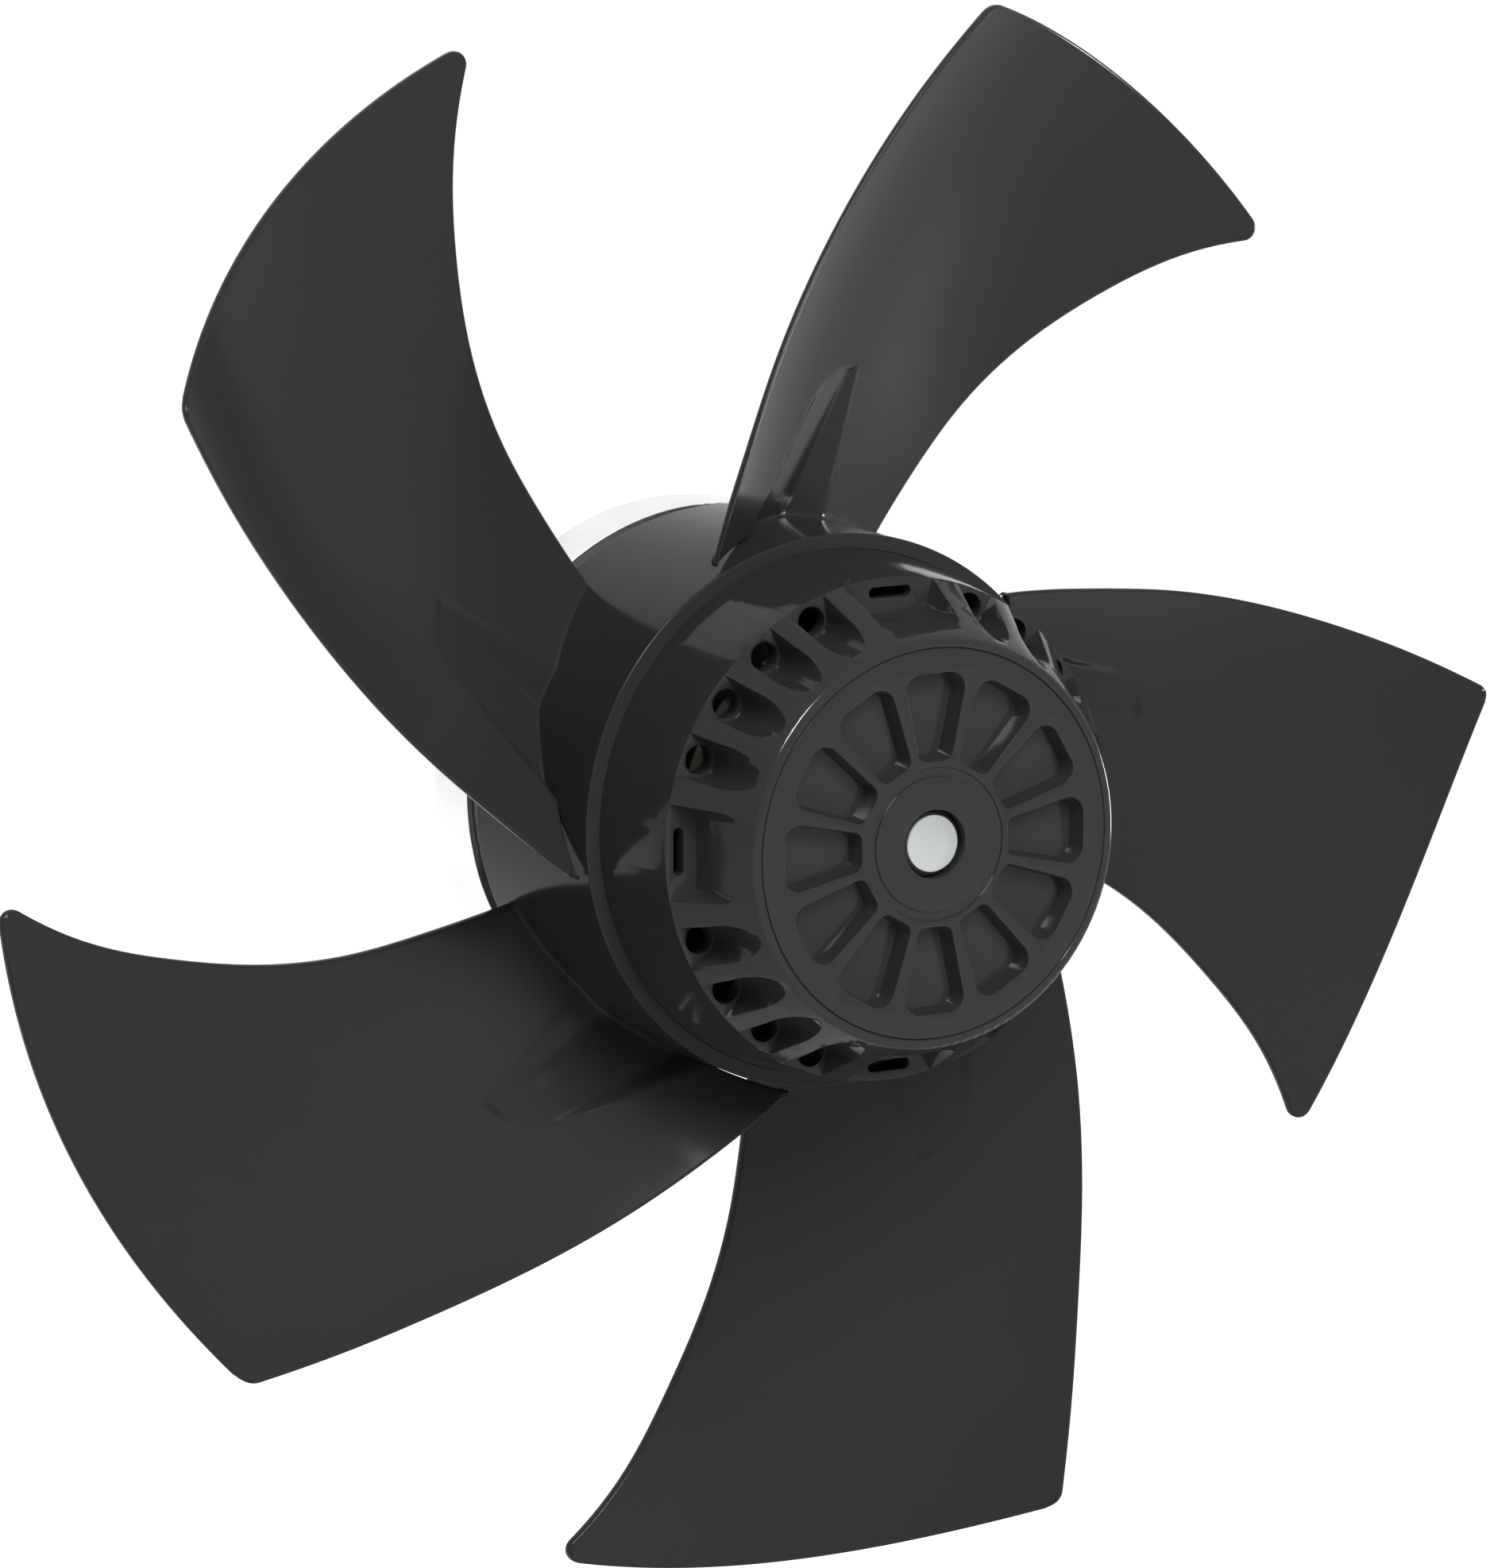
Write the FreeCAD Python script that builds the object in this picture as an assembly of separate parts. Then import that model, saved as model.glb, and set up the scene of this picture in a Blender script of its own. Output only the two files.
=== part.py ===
import FreeCAD, Part
import math
import os

# Axial fan with an external rotor motor: a five-blade moulded impeller is pressed on the
# cast rotor, which turns on its shaft round a stator that stands on a cast flange.
# Millimetres and degrees. Each piece is drawn on an upright axis: height 0 is the rear
# mounting face, the front of the fan is up, and angles run clockwise from the top of the
# fan as its front is seen. The last step lays the pieces over, so that in the part's own
# frame the front faces -Y, the top is +Z, and the mounting face lies in the plane Y = 0.

V = FreeCAD.Vector
AXIS = V(0, 0, 1)
ORIGIN = V(0, 0, 0)

# Heights that stack up along the axis
FLANGE_HEIGHT = 23.7
RUNNING_GAP = 0.8
COLLAR_HEIGHT = 7.0
HUB_LENGTH = 71.5
RIM_ABOVE_HUB = 33.4
CAP_HEIGHT = 27.0

# Impeller
BLADE_COUNT = 5
TIP_RADIUS = 249.0
HUB_WALL = 4.5
HUB_EDGE_ROUND = 0.6
BLADE_THICKNESS = 3.6
FRONT_TIP_ROUND = 7.0
REAR_TIP_ROUND = 4.0
# One row for each section of the blade, in even steps from the hub out to the tip: the
# angle of the front edge and its depth behind the hub's front face, the same for the
# rear edge, and the hollow between the two edges.
BLADE_SECTIONS = [
    (-28.0, 2.2, 33.0, 56.6, 3.2),
    (-14.4, 3.4, 34.6, 59.6, 4.8),
    (-5.8, 6.8, 36.4, 61.3, 6.3),
    (0.8, 10.3, 39.3, 62.1, 7.8),
    (6.2, 12.8, 42.8, 62.0, 9.3),
    (10.7, 13.3, 46.4, 60.8, 10.8),
    (14.7, 12.3, 51.0, 60.9, 12.4),
]
CAMBER_SKEW = 0.48
# The skin is drawn a little larger than the blade, and the outline trims it.
SKIN_MARGIN = 0.1
SKIN_STEPS = 8
# The free inner corner of each blade stands off the hub, over a tapering slit.
SLIT_START_ANGLE = -14.0
SLIT_END_ANGLE = -26.5
SLIT_WIDTH = 2.1
# The stiffening pocket pressed into each blade's root. Its walls are flat, and each
# corner is given as its reach from the hub, its angle and its depth behind the hub face.
POCKET_FRONT_TOP = (0.0, -14.0, 13.5)
POCKET_FRONT_FOOT = (0.0, -10.0, 28.0)
POCKET_REAR_FOOT = (0.0, 4.5, 42.2)
POCKET_REAR_TOP = (0.0, 13.5, 41.5)
POCKET_FRONT_TIP = (47.1, 7.0, 30.3)
POCKET_MIDDLE_TIP = (47.1, 9.0, 33.0)
POCKET_REAR_TIP = (43.1, 12.9, 38.5)

# Rotor casting
ROTOR_RADIUS = 80.4
COLLAR_STEP = 1.5
BELL_TAPER = 3.9
SHELF_WIDTH = 14.9
DISC_ROUND = 1.6
DISC_BORDER = 2.7
GROOVE_SIZE = 0.6
DISH_TOP_RADIUS = 23.0
DISH_TOP_ROUND = 0.8
DISH_FLOOR_RADIUS = 19.3
DISH_FLOOR_ROUND = 2.0
DISH_DEPTH = 1.4
CAP_WALL = 10.4
CAP_SIDE_WALL = 5.5
CAP_BORE_ROUND = 3.0
RIM_FLOOR = 5.0
BELL_WALL = 8.4
REAR_WALL = 3.4
CORE_SEAT_WALL = 5.4
END_RING_STEP = 3.0
END_RING_HEIGHT = 9.0
END_RING_ROUND = 2.0
SHAFT_HUB_RADIUS = 20.0
SHAFT_HUB_DEPTH = 29.4
SHAFT_HUB_ROUND = 2.0
COUNTERBORE_DEPTH = 4.0
COUNTERBORE_GAP = 1.0

# Cooling holes, their scoops, the four balancing pockets and the disc's recesses
VENT_RADIUS = 4.45
VENT_INSET = 5.9
VENTS_PER_QUARTER = 4
VENT_STEP = 15.0
SCOOP_RADIUS = 5.4
SCOOP_FLARE = 0.23
SCOOP_DRAFT = 5.0
BALANCE_COUNT = 4
BALANCE_REACH = 10.5
BALANCE_HALF_WIDTH = 11.8
BALANCE_FLARE = 0.31
BALANCE_ROUND = 3.5
BALANCE_DRAFT = 5.0
SLOT_INSET = 4.5
SLOT_LENGTH = 14.5
SLOT_WIDTH = 3.4
RECESS_COUNT = 12
RECESS_INNER_RADIUS = 25.0
RECESS_BORDER = 7.5
RECESS_HALF_ANGLE = 12.3
RECESS_DEPTH = 6.5
RECESS_DRAFT = 1.0
RECESS_INNER_ROUND = 3.0
RECESS_OUTER_ROUND = 5.0

# Motor: laminated cores, air gap, slots and windings
CORE_LENGTH = 62.0
CORE_BEHIND_HUB_FACE = 61.0
ROTOR_CORE_THICKNESS = 19.65
AIR_GAP = 0.35
YOKE_SHARE = 0.31
SLOT_COUNT = 24
TOOTH_WIDTH = 5.0
TOOTH_TIP = 2.4
SLOT_MOUTH = 2.6
SLOT_CLEARANCE = 0.4
INSULATOR_THICKNESS = 2.0
COLLAR_WALL = 2.0
INSULATOR_COLLAR = 12.0
COIL_INSIDE_SLOTS = 3.0
COIL_UNDER_TIPS = 1.0
COIL_HEIGHT = 15.0
COIL_ROUND = 5.0
WEDGE_THICKNESS = 1.0
CUTOUT_LENGTH = 18.0
CUTOUT_WIDTH = 8.0
CUTOUT_HEIGHT = 4.0
# How far a cutter runs past a face, and a fused piece into its neighbour
OVERLAP = 1.0

# Shaft and ball bearings
SHAFT_RADIUS = 8.5
SHAFT_SHOULDER = 1.0
SHAFT_CHAMFER = 1.0
SHAFT_TAIL = 2.0
BEARING_RADIUS = 20.0
BEARING_WIDTH = 12.0
# Balls and rings, as shares of the width between the bearing's bore and its outside
BALL_SHARE = 0.29
RING_SHARE = 0.24
BALL_COUNT = 8
BALL_CLEARANCE = 0.12
CAGE_WALL = 1.6
CAGE_EDGE = 0.75
SHIELD_THICKNESS = 0.5
SHIELD_GAP = 0.5
REAR_BEARING_HEIGHT = 10.0
SEAL_ROOM = 3.0
TUBE_WALL = 4.5
TUBE_ABOVE_BEARING = 3.0
TUBE_SHOULDER = 2.0
CIRCLIP_THICKNESS = 1.2
CIRCLIP_DEPTH = 1.0
CIRCLIP_GAP_ANGLE = 34.0
WAVE_HEIGHT = 1.6
WAVE_CLEARANCE = 0.3
SEAL_THICKNESS = 2.0
SEAL_GAP = 0.3
SEAL_SET_IN = 1.0
SEAL_LIP = 4.0

# Stator flange
FLANGE_OVERHANG = 2.1
FLANGE_ROUND = 3.0
FLANGE_EDGE_ROUND = 0.4
RIM_WALL = 4.0
WEB_THICKNESS = 5.0
WEB_SET_BACK = 1.7
WEB_ROUND = 2.0
SPIGOT_CLEARANCE = 2.5
SPIGOT_WALL = 3.0
SPIGOT_HEIGHT = 7.0
BOLT_CIRCLE_RADIUS = 57.5
BOLT_COUNT = 4
BOLT_FIRST_ANGLE = 45.0
BOLT_HOLE_RADIUS = 3.4
BOLT_HOLE_DEPTH = 16.0
BOLT_BOSS_RADIUS = 9.5
RIB_COUNT = 8
RIB_WIDTH = 4.0
RIB_SET_BACK = 3.0
CENTRE_BOSS_WALL = 4.0
CENTRE_BOSS_SET_BACK = 2.0

# Rear cover over the bearing, with its screws
COVER_BORDER = 5.0
COVER_THICKNESS = 2.5
COVER_SET_BACK = 3.0
COVER_FIT = 0.1
COVER_EDGE_ROUND = 0.6
COVER_SCREW_COUNT = 3
COVER_SCREW_OUTSIDE_BEARING = 5.0
COVER_HOLE_CLEARANCE = 0.2
SCREW_RADIUS = 2.0
SCREW_LENGTH = 8.0
SCREW_HOLE_SPARE = 4.0
SCREW_HEAD_RADIUS = 3.5
SCREW_HEAD_HEIGHT = 2.2
SCREW_HEAD_ROUND = 1.2
SCREW_DRIVE_RADIUS = 1.3
EARTH_SCREW_ANGLE = 112.0
EARTH_SCREW_INSET = 18.0
EARTH_BOSS_RADIUS = 5.0

# Cable outlet
GLAND_ANGLE = 90.0
GLAND_THREAD_RADIUS = 8.0
GLAND_SPAN = 20.0
GLAND_BODY_LENGTH = 6.0
GLAND_NUT_SPAN = 18.0
GLAND_NUT_LENGTH = 12.0
GLAND_NUT_CROWN = 1.4
GLAND_NUT_ROUND = 5.0
GLAND_PAD = 2.5
GLAND_BORE = 5.5
GLAND_WALL = 1.0
GLAND_THREAD_SPARE = 3.0
CABLE_BORE = 3.4
SEAL_RADIUS = 6.0
SEAL_STEP = 1.0
DUCT_WIDTH = 23.0
DUCT_LENGTH = 26.0
DUCT_SET_BACK = 1.0
DUCT_HOLE_RADIUS = 5.0
DUCT_HOLE_WALL = 2.0

# Radii that follow from the rotor's
COLLAR_RADIUS = ROTOR_RADIUS + COLLAR_STEP
HUB_RADIUS = ROTOR_RADIUS + HUB_WALL
RIM_RADIUS = ROTOR_RADIUS - BELL_TAPER
DISC_RADIUS = RIM_RADIUS - SHELF_WIDTH
GROOVE_RADIUS = DISC_RADIUS - DISC_BORDER
RECESS_OUTER_RADIUS = GROOVE_RADIUS - RECESS_BORDER
VENT_CIRCLE = RIM_RADIUS - VENT_INSET
SLOT_CIRCLE = RIM_RADIUS - SLOT_INSET
BALANCE_INNER_RADIUS = RIM_RADIUS - BALANCE_REACH
CAP_BORE_RADIUS = BALANCE_INNER_RADIUS - CAP_SIDE_WALL
BELL_BORE_RADIUS = ROTOR_RADIUS - BELL_WALL
REAR_BORE_RADIUS = ROTOR_RADIUS - REAR_WALL
CORE_SEAT_RADIUS = ROTOR_RADIUS - CORE_SEAT_WALL
STATOR_RADIUS = CORE_SEAT_RADIUS - ROTOR_CORE_THICKNESS - AIR_GAP
END_RING_BORE = STATOR_RADIUS + END_RING_STEP
FLANGE_RADIUS = COLLAR_RADIUS + FLANGE_OVERHANG
SPIGOT_RADIUS = REAR_BORE_RADIUS - SPIGOT_CLEARANCE
EARTH_SCREW_CIRCLE = FLANGE_RADIUS - EARTH_SCREW_INSET
DUCT_HOLE_CIRCLE = FLANGE_RADIUS - DUCT_LENGTH + DUCT_HOLE_RADIUS + DUCT_HOLE_WALL
SHAFT_FRONT_RADIUS = SHAFT_RADIUS + SHAFT_SHOULDER
BEARING_PITCH = (SHAFT_RADIUS + BEARING_RADIUS) / 2
BALL_RADIUS = BALL_SHARE * (BEARING_RADIUS - SHAFT_RADIUS)
RING_WALL = RING_SHARE * (BEARING_RADIUS - SHAFT_RADIUS)
TUBE_RADIUS = BEARING_RADIUS + TUBE_WALL
SHOULDER_RADIUS = BEARING_RADIUS - TUBE_SHOULDER
COVER_SCREW_CIRCLE = BEARING_RADIUS + COVER_SCREW_OUTSIDE_BEARING
COVER_RADIUS = COVER_SCREW_CIRCLE + COVER_BORDER
CENTRE_BOSS_RADIUS = COVER_RADIUS + CENTRE_BOSS_WALL
SLOT_FOOT_RADIUS = TUBE_RADIUS + YOKE_SHARE * (STATOR_RADIUS - TUBE_RADIUS)
SLOT_TOP_RADIUS = STATOR_RADIUS - TOOTH_TIP
COIL_RADIUS_IN = SLOT_FOOT_RADIUS - COIL_INSIDE_SLOTS
COIL_RADIUS_OUT = SLOT_TOP_RADIUS - COIL_UNDER_TIPS

# Heights that follow from the stack
COLLAR_BASE = FLANGE_HEIGHT + RUNNING_GAP
HUB_BASE = COLLAR_BASE + COLLAR_HEIGHT
HUB_FACE = HUB_BASE + HUB_LENGTH
RIM_LEVEL = HUB_FACE + RIM_ABOVE_HUB
CAP_FACE = RIM_LEVEL + CAP_HEIGHT
DISH_FLOOR = CAP_FACE - DISH_DEPTH
CORE_BASE = HUB_FACE - CORE_BEHIND_HUB_FACE
CORE_TOP = CORE_BASE + CORE_LENGTH
SHAFT_HUB_END = CAP_FACE - SHAFT_HUB_DEPTH
WEB_FACE = FLANGE_HEIGHT - WEB_SET_BACK
REAR_BEARING_TOP = REAR_BEARING_HEIGHT + BEARING_WIDTH
TUBE_TOP = SHAFT_HUB_END - SEAL_ROOM
FRONT_BEARING_TOP = TUBE_TOP - TUBE_ABOVE_BEARING
FRONT_BEARING_HEIGHT = FRONT_BEARING_TOP - BEARING_WIDTH
CAGE_HALF_HEIGHT = BALL_RADIUS + BALL_CLEARANCE + CAGE_EDGE
GLAND_HEIGHT = FLANGE_HEIGHT / 2


def polar(radius, angle, height=0.0):
    turn = math.radians(angle)
    return V(radius * math.sin(turn), radius * math.cos(turn), height)


def turned(shape, angle):
    """A copy of the shape, moved clockwise about the fan's axis."""
    copy = shape.copy()
    copy.rotate(ORIGIN, AXIS, -angle)
    return copy


def ring_of(shape, count, first=0.0):
    return [turned(shape, first + 360.0 * i / count) for i in range(count)]


def rounded_wire(corners, place):
    """Closed outline through (a, b) or (a, b, radius) corners, put in space by place."""
    joints = []
    for i, corner in enumerate(corners):
        here = V(corner[0], corner[1], 0)
        radius = corner[2] if len(corner) > 2 else 0.0
        if radius <= 0.0:
            joints.append((here, None, here))
            continue
        before = corners[i - 1]
        after = corners[(i + 1) % len(corners)]
        to_before = (V(before[0], before[1], 0) - here).normalize()
        to_after = (V(after[0], after[1], 0) - here).normalize()
        half = to_before.getAngle(to_after) / 2
        inward = (to_before + to_after).normalize()
        middle = here + inward * (radius / math.sin(half) - radius)
        reach = radius / math.tan(half)
        joints.append((here + to_before * reach, middle, here + to_after * reach))
    edges = []
    for i, (start, middle, end) in enumerate(joints):
        if middle is not None:
            edges.append(Part.Arc(place(start), place(middle), place(end)).toShape())
        onward = joints[(i + 1) % len(joints)][0]
        if (onward - end).Length > 1e-6:
            edges.append(Part.LineSegment(place(end), place(onward)).toShape())
    return Part.Wire(edges)


def flat_wire(corners, height):
    return rounded_wire(corners, lambda p: V(p.x, p.y, height))


def plate(corners, low, high):
    return Part.Face(flat_wire(corners, low)).extrude(V(0, 0, high - low))


def taper(low_corners, low, high_corners, high):
    return Part.makeLoft([flat_wire(low_corners, low), flat_wire(high_corners, high)], True, True)


def turning(corners):
    """Solid of revolution from (radius, height) corners."""
    profile = Part.Face(rounded_wire(corners, lambda p: V(p.x, 0, p.y)))
    return profile.revolve(ORIGIN, AXIS, 360)


def pipe(inner, outer, low, high):
    return turning([(inner, low), (outer, low), (outer, high), (inner, high)])


def rod(radius, low, high, centre=ORIGIN):
    return Part.makeCylinder(radius, high - low, V(centre.x, centre.y, low), AXIS)


def hexagon(span, low, high):
    radius = span / math.sqrt(3)
    corners = [(polar(radius, 60 * i).x, polar(radius, 60 * i).y) for i in range(6)]
    return plate(corners, low, high)


def one_solid(shape):
    whole = shape.removeSplitter()
    return whole.Solids[0] if len(whole.Solids) == 1 else whole


# Impeller

def blade_rows():
    """The sections with one more before the hub and one past the tip, on the same curve."""
    rows = BLADE_SECTIONS
    first = tuple(3 * a - 3 * b + c for a, b, c in zip(rows[0], rows[1], rows[2]))
    last = tuple(3 * a - 3 * b + c for a, b, c in zip(rows[-1], rows[-2], rows[-3]))
    return [first] + rows + [last]


def blade_point(row, section, along):
    """A point of the blade's front skin: along is 0 at the front edge, 1 at the rear."""
    front_angle, front_depth, rear_angle, rear_depth, camber = section
    step = (TIP_RADIUS - HUB_RADIUS) / (len(BLADE_SECTIONS) - 1)
    angle = front_angle + along * (rear_angle - front_angle)
    hollow = 4 * camber * along * (1 - along) * (1 + CAMBER_SKEW * (0.5 - along))
    depth = front_depth + along * (rear_depth - front_depth) + hollow
    return polar(HUB_RADIUS + row * step, angle, HUB_FACE - depth)


def blade_skin():
    """The front skin, larger than the blade all round."""
    width = 1 + 2 * SKIN_MARGIN
    shares = [-SKIN_MARGIN + width * i / SKIN_STEPS for i in range(SKIN_STEPS + 1)]
    surface = Part.BSplineSurface()
    surface.interpolate([[blade_point(row - 1, s, along) for along in shares]
                         for row, s in enumerate(blade_rows())])
    return surface.toShape()


def edge_curve(along):
    """The front or rear edge in plan, from hub to tip, with its two ends."""
    points = [blade_point(row, s, along) for row, s in enumerate(BLADE_SECTIONS)]
    curve = Part.BSplineCurve()
    curve.interpolate([V(p.x, p.y, 0) for p in points])
    return curve.toShape(), V(points[0].x, points[0].y, 0), V(points[-1].x, points[-1].y, 0)


def blade_outline():
    """The blade's plan as seen along the axis, cut straight through, with round tips."""
    front, front_root, front_tip = edge_curve(0.0)
    rear, rear_root, rear_tip = edge_curve(1.0)
    tip_angle = (BLADE_SECTIONS[-1][0] + BLADE_SECTIONS[-1][2]) / 2
    tip = Part.Arc(front_tip, polar(TIP_RADIUS, tip_angle), rear_tip).toShape()
    root_radius = HUB_RADIUS - HUB_WALL / 2
    corner = polar(root_radius, SLIT_END_ANGLE)
    middle = polar(root_radius, 0)
    other = polar(root_radius, BLADE_SECTIONS[0][2])
    root = [
        Part.LineSegment(rear_root, other).toShape(),
        Part.Arc(other, middle, corner).toShape(),
        Part.LineSegment(corner, front_root).toShape(),
    ]
    outline = Part.Face(Part.Wire([front, tip, rear] + root))
    block = outline.extrude(V(0, 0, CAP_FACE))
    for place, radius in ((front_tip, FRONT_TIP_ROUND), (rear_tip, REAR_TIP_ROUND)):
        upright = [e for e in block.Edges if all((V(v.X, v.Y, 0) - place).Length < 0.01 for v in e.Vertexes)]
        block = block.makeFillet(radius, upright)
    return block


def above_plane(points, drop):
    """A block lying on the plane through three points, lowered along its normal."""
    places = [polar(HUB_RADIUS + reach, angle, HUB_FACE - depth) for reach, angle, depth in points]
    first, second, third = places
    normal = (second - first).cross(third - first).normalize()
    if normal.z < 0:
        normal = -normal
    side = 2 * TIP_RADIUS
    block = Part.makeBox(side, side, side, V(-side / 2, -side / 2, 0))
    block.Placement = FreeCAD.Placement(first - normal * drop, FreeCAD.Rotation(AXIS, normal))
    return block


def pocket_space(drop):
    """The room over the pocket's three flat walls, lowered by drop for their backs."""
    reach = rod(HUB_RADIUS + POCKET_MIDDLE_TIP[0] + drop, 0, CAP_FACE)
    floor = above_plane([POCKET_FRONT_FOOT, POCKET_REAR_FOOT, POCKET_MIDDLE_TIP], drop)
    front_wall = above_plane([POCKET_FRONT_TOP, POCKET_FRONT_FOOT, POCKET_FRONT_TIP], drop)
    rear_wall = above_plane([POCKET_REAR_FOOT, POCKET_REAR_TOP, POCKET_REAR_TIP], drop)
    return floor.common(front_wall).common(rear_wall).common(reach)


def blade():
    skin = blade_skin()
    sheet = skin.extrude(V(0, 0, -BLADE_THICKNESS))
    backing = skin.extrude(V(0, 0, -HUB_LENGTH / 2))
    bump = backing.common(pocket_space(BLADE_THICKNESS))
    shape = sheet.fuse(bump).cut(pocket_space(0.0)).common(blade_outline())
    slit = [
        polar(HUB_RADIUS - HUB_WALL, SLIT_START_ANGLE),
        polar(HUB_RADIUS, SLIT_START_ANGLE),
        polar(HUB_RADIUS + SLIT_WIDTH, SLIT_END_ANGLE),
        polar(HUB_RADIUS + 2 * SLIT_WIDTH, 2 * SLIT_END_ANGLE - SLIT_START_ANGLE),
        polar(HUB_RADIUS - HUB_WALL, 2 * SLIT_END_ANGLE - SLIT_START_ANGLE),
    ]
    return shape.cut(plate([(p.x, p.y) for p in slit], 0, CAP_FACE))


def impeller():
    hub = turning([
        (ROTOR_RADIUS, HUB_BASE),
        (HUB_RADIUS, HUB_BASE, HUB_EDGE_ROUND),
        (HUB_RADIUS, HUB_FACE, HUB_EDGE_ROUND),
        (ROTOR_RADIUS, HUB_FACE),
    ])
    return one_solid(hub.multiFuse(ring_of(blade(), BLADE_COUNT)))


# Rotor casting

def scoop(angle):
    """The channel over one cooling hole, open to the rim, with drafted walls."""
    widen = CAP_HEIGHT * math.tan(math.radians(SCOOP_DRAFT))
    beyond = RIM_RADIUS + VENT_INSET

    def wire(radius, height):
        half = radius + SCOOP_FLARE * (beyond - VENT_CIRCLE)
        left = V(-radius, VENT_CIRCLE, height)
        right = V(radius, VENT_CIRCLE, height)
        deep = V(0, VENT_CIRCLE - radius, height)
        out_right = V(half, beyond, height)
        out_left = V(-half, beyond, height)
        return Part.Wire([
            Part.Arc(left, deep, right).toShape(),
            Part.LineSegment(right, out_right).toShape(),
            Part.LineSegment(out_right, out_left).toShape(),
            Part.LineSegment(out_left, left).toShape(),
        ])

    room = Part.makeLoft([wire(SCOOP_RADIUS, RIM_LEVEL), wire(SCOOP_RADIUS + widen, CAP_FACE)], True, True)
    hole = rod(VENT_RADIUS, RIM_LEVEL - 2 * RIM_FLOOR, RIM_LEVEL + OVERLAP, V(0, VENT_CIRCLE, 0))
    return turned(room.fuse(hole), angle)


def balance_pocket(angle):
    """A wide pocket open to the rim, with the slot that takes a balancing clip."""
    widen = CAP_HEIGHT * math.tan(math.radians(BALANCE_DRAFT))
    beyond = RIM_RADIUS + VENT_INSET

    def corners(grow):
        near = BALANCE_HALF_WIDTH + grow
        inner = BALANCE_INNER_RADIUS - grow
        far = near + BALANCE_FLARE * (beyond - inner)
        return [(-near, inner, BALANCE_ROUND), (near, inner, BALANCE_ROUND), (far, beyond), (-far, beyond)]

    room = taper(corners(0), RIM_LEVEL, corners(widen), CAP_FACE)
    half = SLOT_LENGTH / 2
    end = 0.49 * SLOT_WIDTH
    slot = plate([
        (-half, SLOT_CIRCLE - SLOT_WIDTH / 2, end),
        (half, SLOT_CIRCLE - SLOT_WIDTH / 2, end),
        (half, SLOT_CIRCLE + SLOT_WIDTH / 2, end),
        (-half, SLOT_CIRCLE + SLOT_WIDTH / 2, end),
    ], RIM_LEVEL - 2 * RIM_FLOOR, RIM_LEVEL + OVERLAP)
    return turned(room.fuse(slot), angle)


def disc_recess():
    """One of the wedge-shaped recesses between the disc's radial ribs."""
    def corners(inset):
        inner = RECESS_INNER_RADIUS + inset
        outer = RECESS_OUTER_RADIUS - inset
        slope = math.tan(math.radians(RECESS_HALF_ANGLE))
        near = inner * slope - inset
        far = outer * slope - inset
        near_round = RECESS_INNER_ROUND - inset / 2
        far_round = RECESS_OUTER_ROUND - inset / 2
        return [(-near, inner, near_round), (near, inner, near_round),
                (far, outer, far_round), (-far, outer, far_round)]

    return taper(corners(RECESS_DRAFT), CAP_FACE - RECESS_DEPTH, corners(0), CAP_FACE + 0.001)


def rotor_housing():
    counterbore = SHAFT_FRONT_RADIUS + COUNTERBORE_GAP
    half_groove = GROOVE_SIZE / 2
    body = turning([
        (SHAFT_FRONT_RADIUS, SHAFT_HUB_END),
        (SHAFT_FRONT_RADIUS, DISH_FLOOR - COUNTERBORE_DEPTH),
        (counterbore, DISH_FLOOR - COUNTERBORE_DEPTH),
        (counterbore, DISH_FLOOR),
        (DISH_FLOOR_RADIUS, DISH_FLOOR, DISH_FLOOR_ROUND),
        (DISH_TOP_RADIUS, CAP_FACE, DISH_TOP_ROUND),
        (GROOVE_RADIUS - half_groove, CAP_FACE),
        (GROOVE_RADIUS, CAP_FACE - GROOVE_SIZE),
        (GROOVE_RADIUS + half_groove, CAP_FACE),
        (DISC_RADIUS, CAP_FACE, DISC_ROUND),
        (RIM_RADIUS, RIM_LEVEL),
        (ROTOR_RADIUS, HUB_FACE),
        (ROTOR_RADIUS, HUB_BASE),
        (COLLAR_RADIUS, HUB_BASE),
        (COLLAR_RADIUS, COLLAR_BASE),
        (REAR_BORE_RADIUS, COLLAR_BASE),
        (REAR_BORE_RADIUS, CORE_BASE - END_RING_HEIGHT),
        (END_RING_BORE, CORE_BASE - END_RING_HEIGHT, END_RING_ROUND),
        (END_RING_BORE, CORE_BASE),
        (CORE_SEAT_RADIUS, CORE_BASE),
        (CORE_SEAT_RADIUS, CORE_TOP),
        (END_RING_BORE, CORE_TOP),
        (END_RING_BORE, CORE_TOP + END_RING_HEIGHT, END_RING_ROUND),
        (BELL_BORE_RADIUS, CORE_TOP + END_RING_HEIGHT),
        (BELL_BORE_RADIUS, RIM_LEVEL - RIM_FLOOR),
        (CAP_BORE_RADIUS, RIM_LEVEL - RIM_FLOOR),
        (CAP_BORE_RADIUS, CAP_FACE - CAP_WALL, CAP_BORE_ROUND),
        (SHAFT_HUB_RADIUS, CAP_FACE - CAP_WALL, SHAFT_HUB_ROUND),
        (SHAFT_HUB_RADIUS, SHAFT_HUB_END),
    ])
    quarter = 360.0 / BALANCE_COUNT
    first = (quarter - VENT_STEP * (VENTS_PER_QUARTER - 1)) / 2
    cuts = []
    for i in range(BALANCE_COUNT):
        cuts.append(balance_pocket(quarter * i))
        for j in range(VENTS_PER_QUARTER):
            cuts.append(scoop(quarter * i + first + VENT_STEP * j))
    cuts += ring_of(disc_recess(), RECESS_COUNT)
    return one_solid(body.cut(cuts))


def rotor_core():
    return pipe(STATOR_RADIUS + AIR_GAP, CORE_SEAT_RADIUS, CORE_BASE, CORE_TOP)


# Shaft, its circlip and the seal disc in front of the bearing tube

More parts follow.
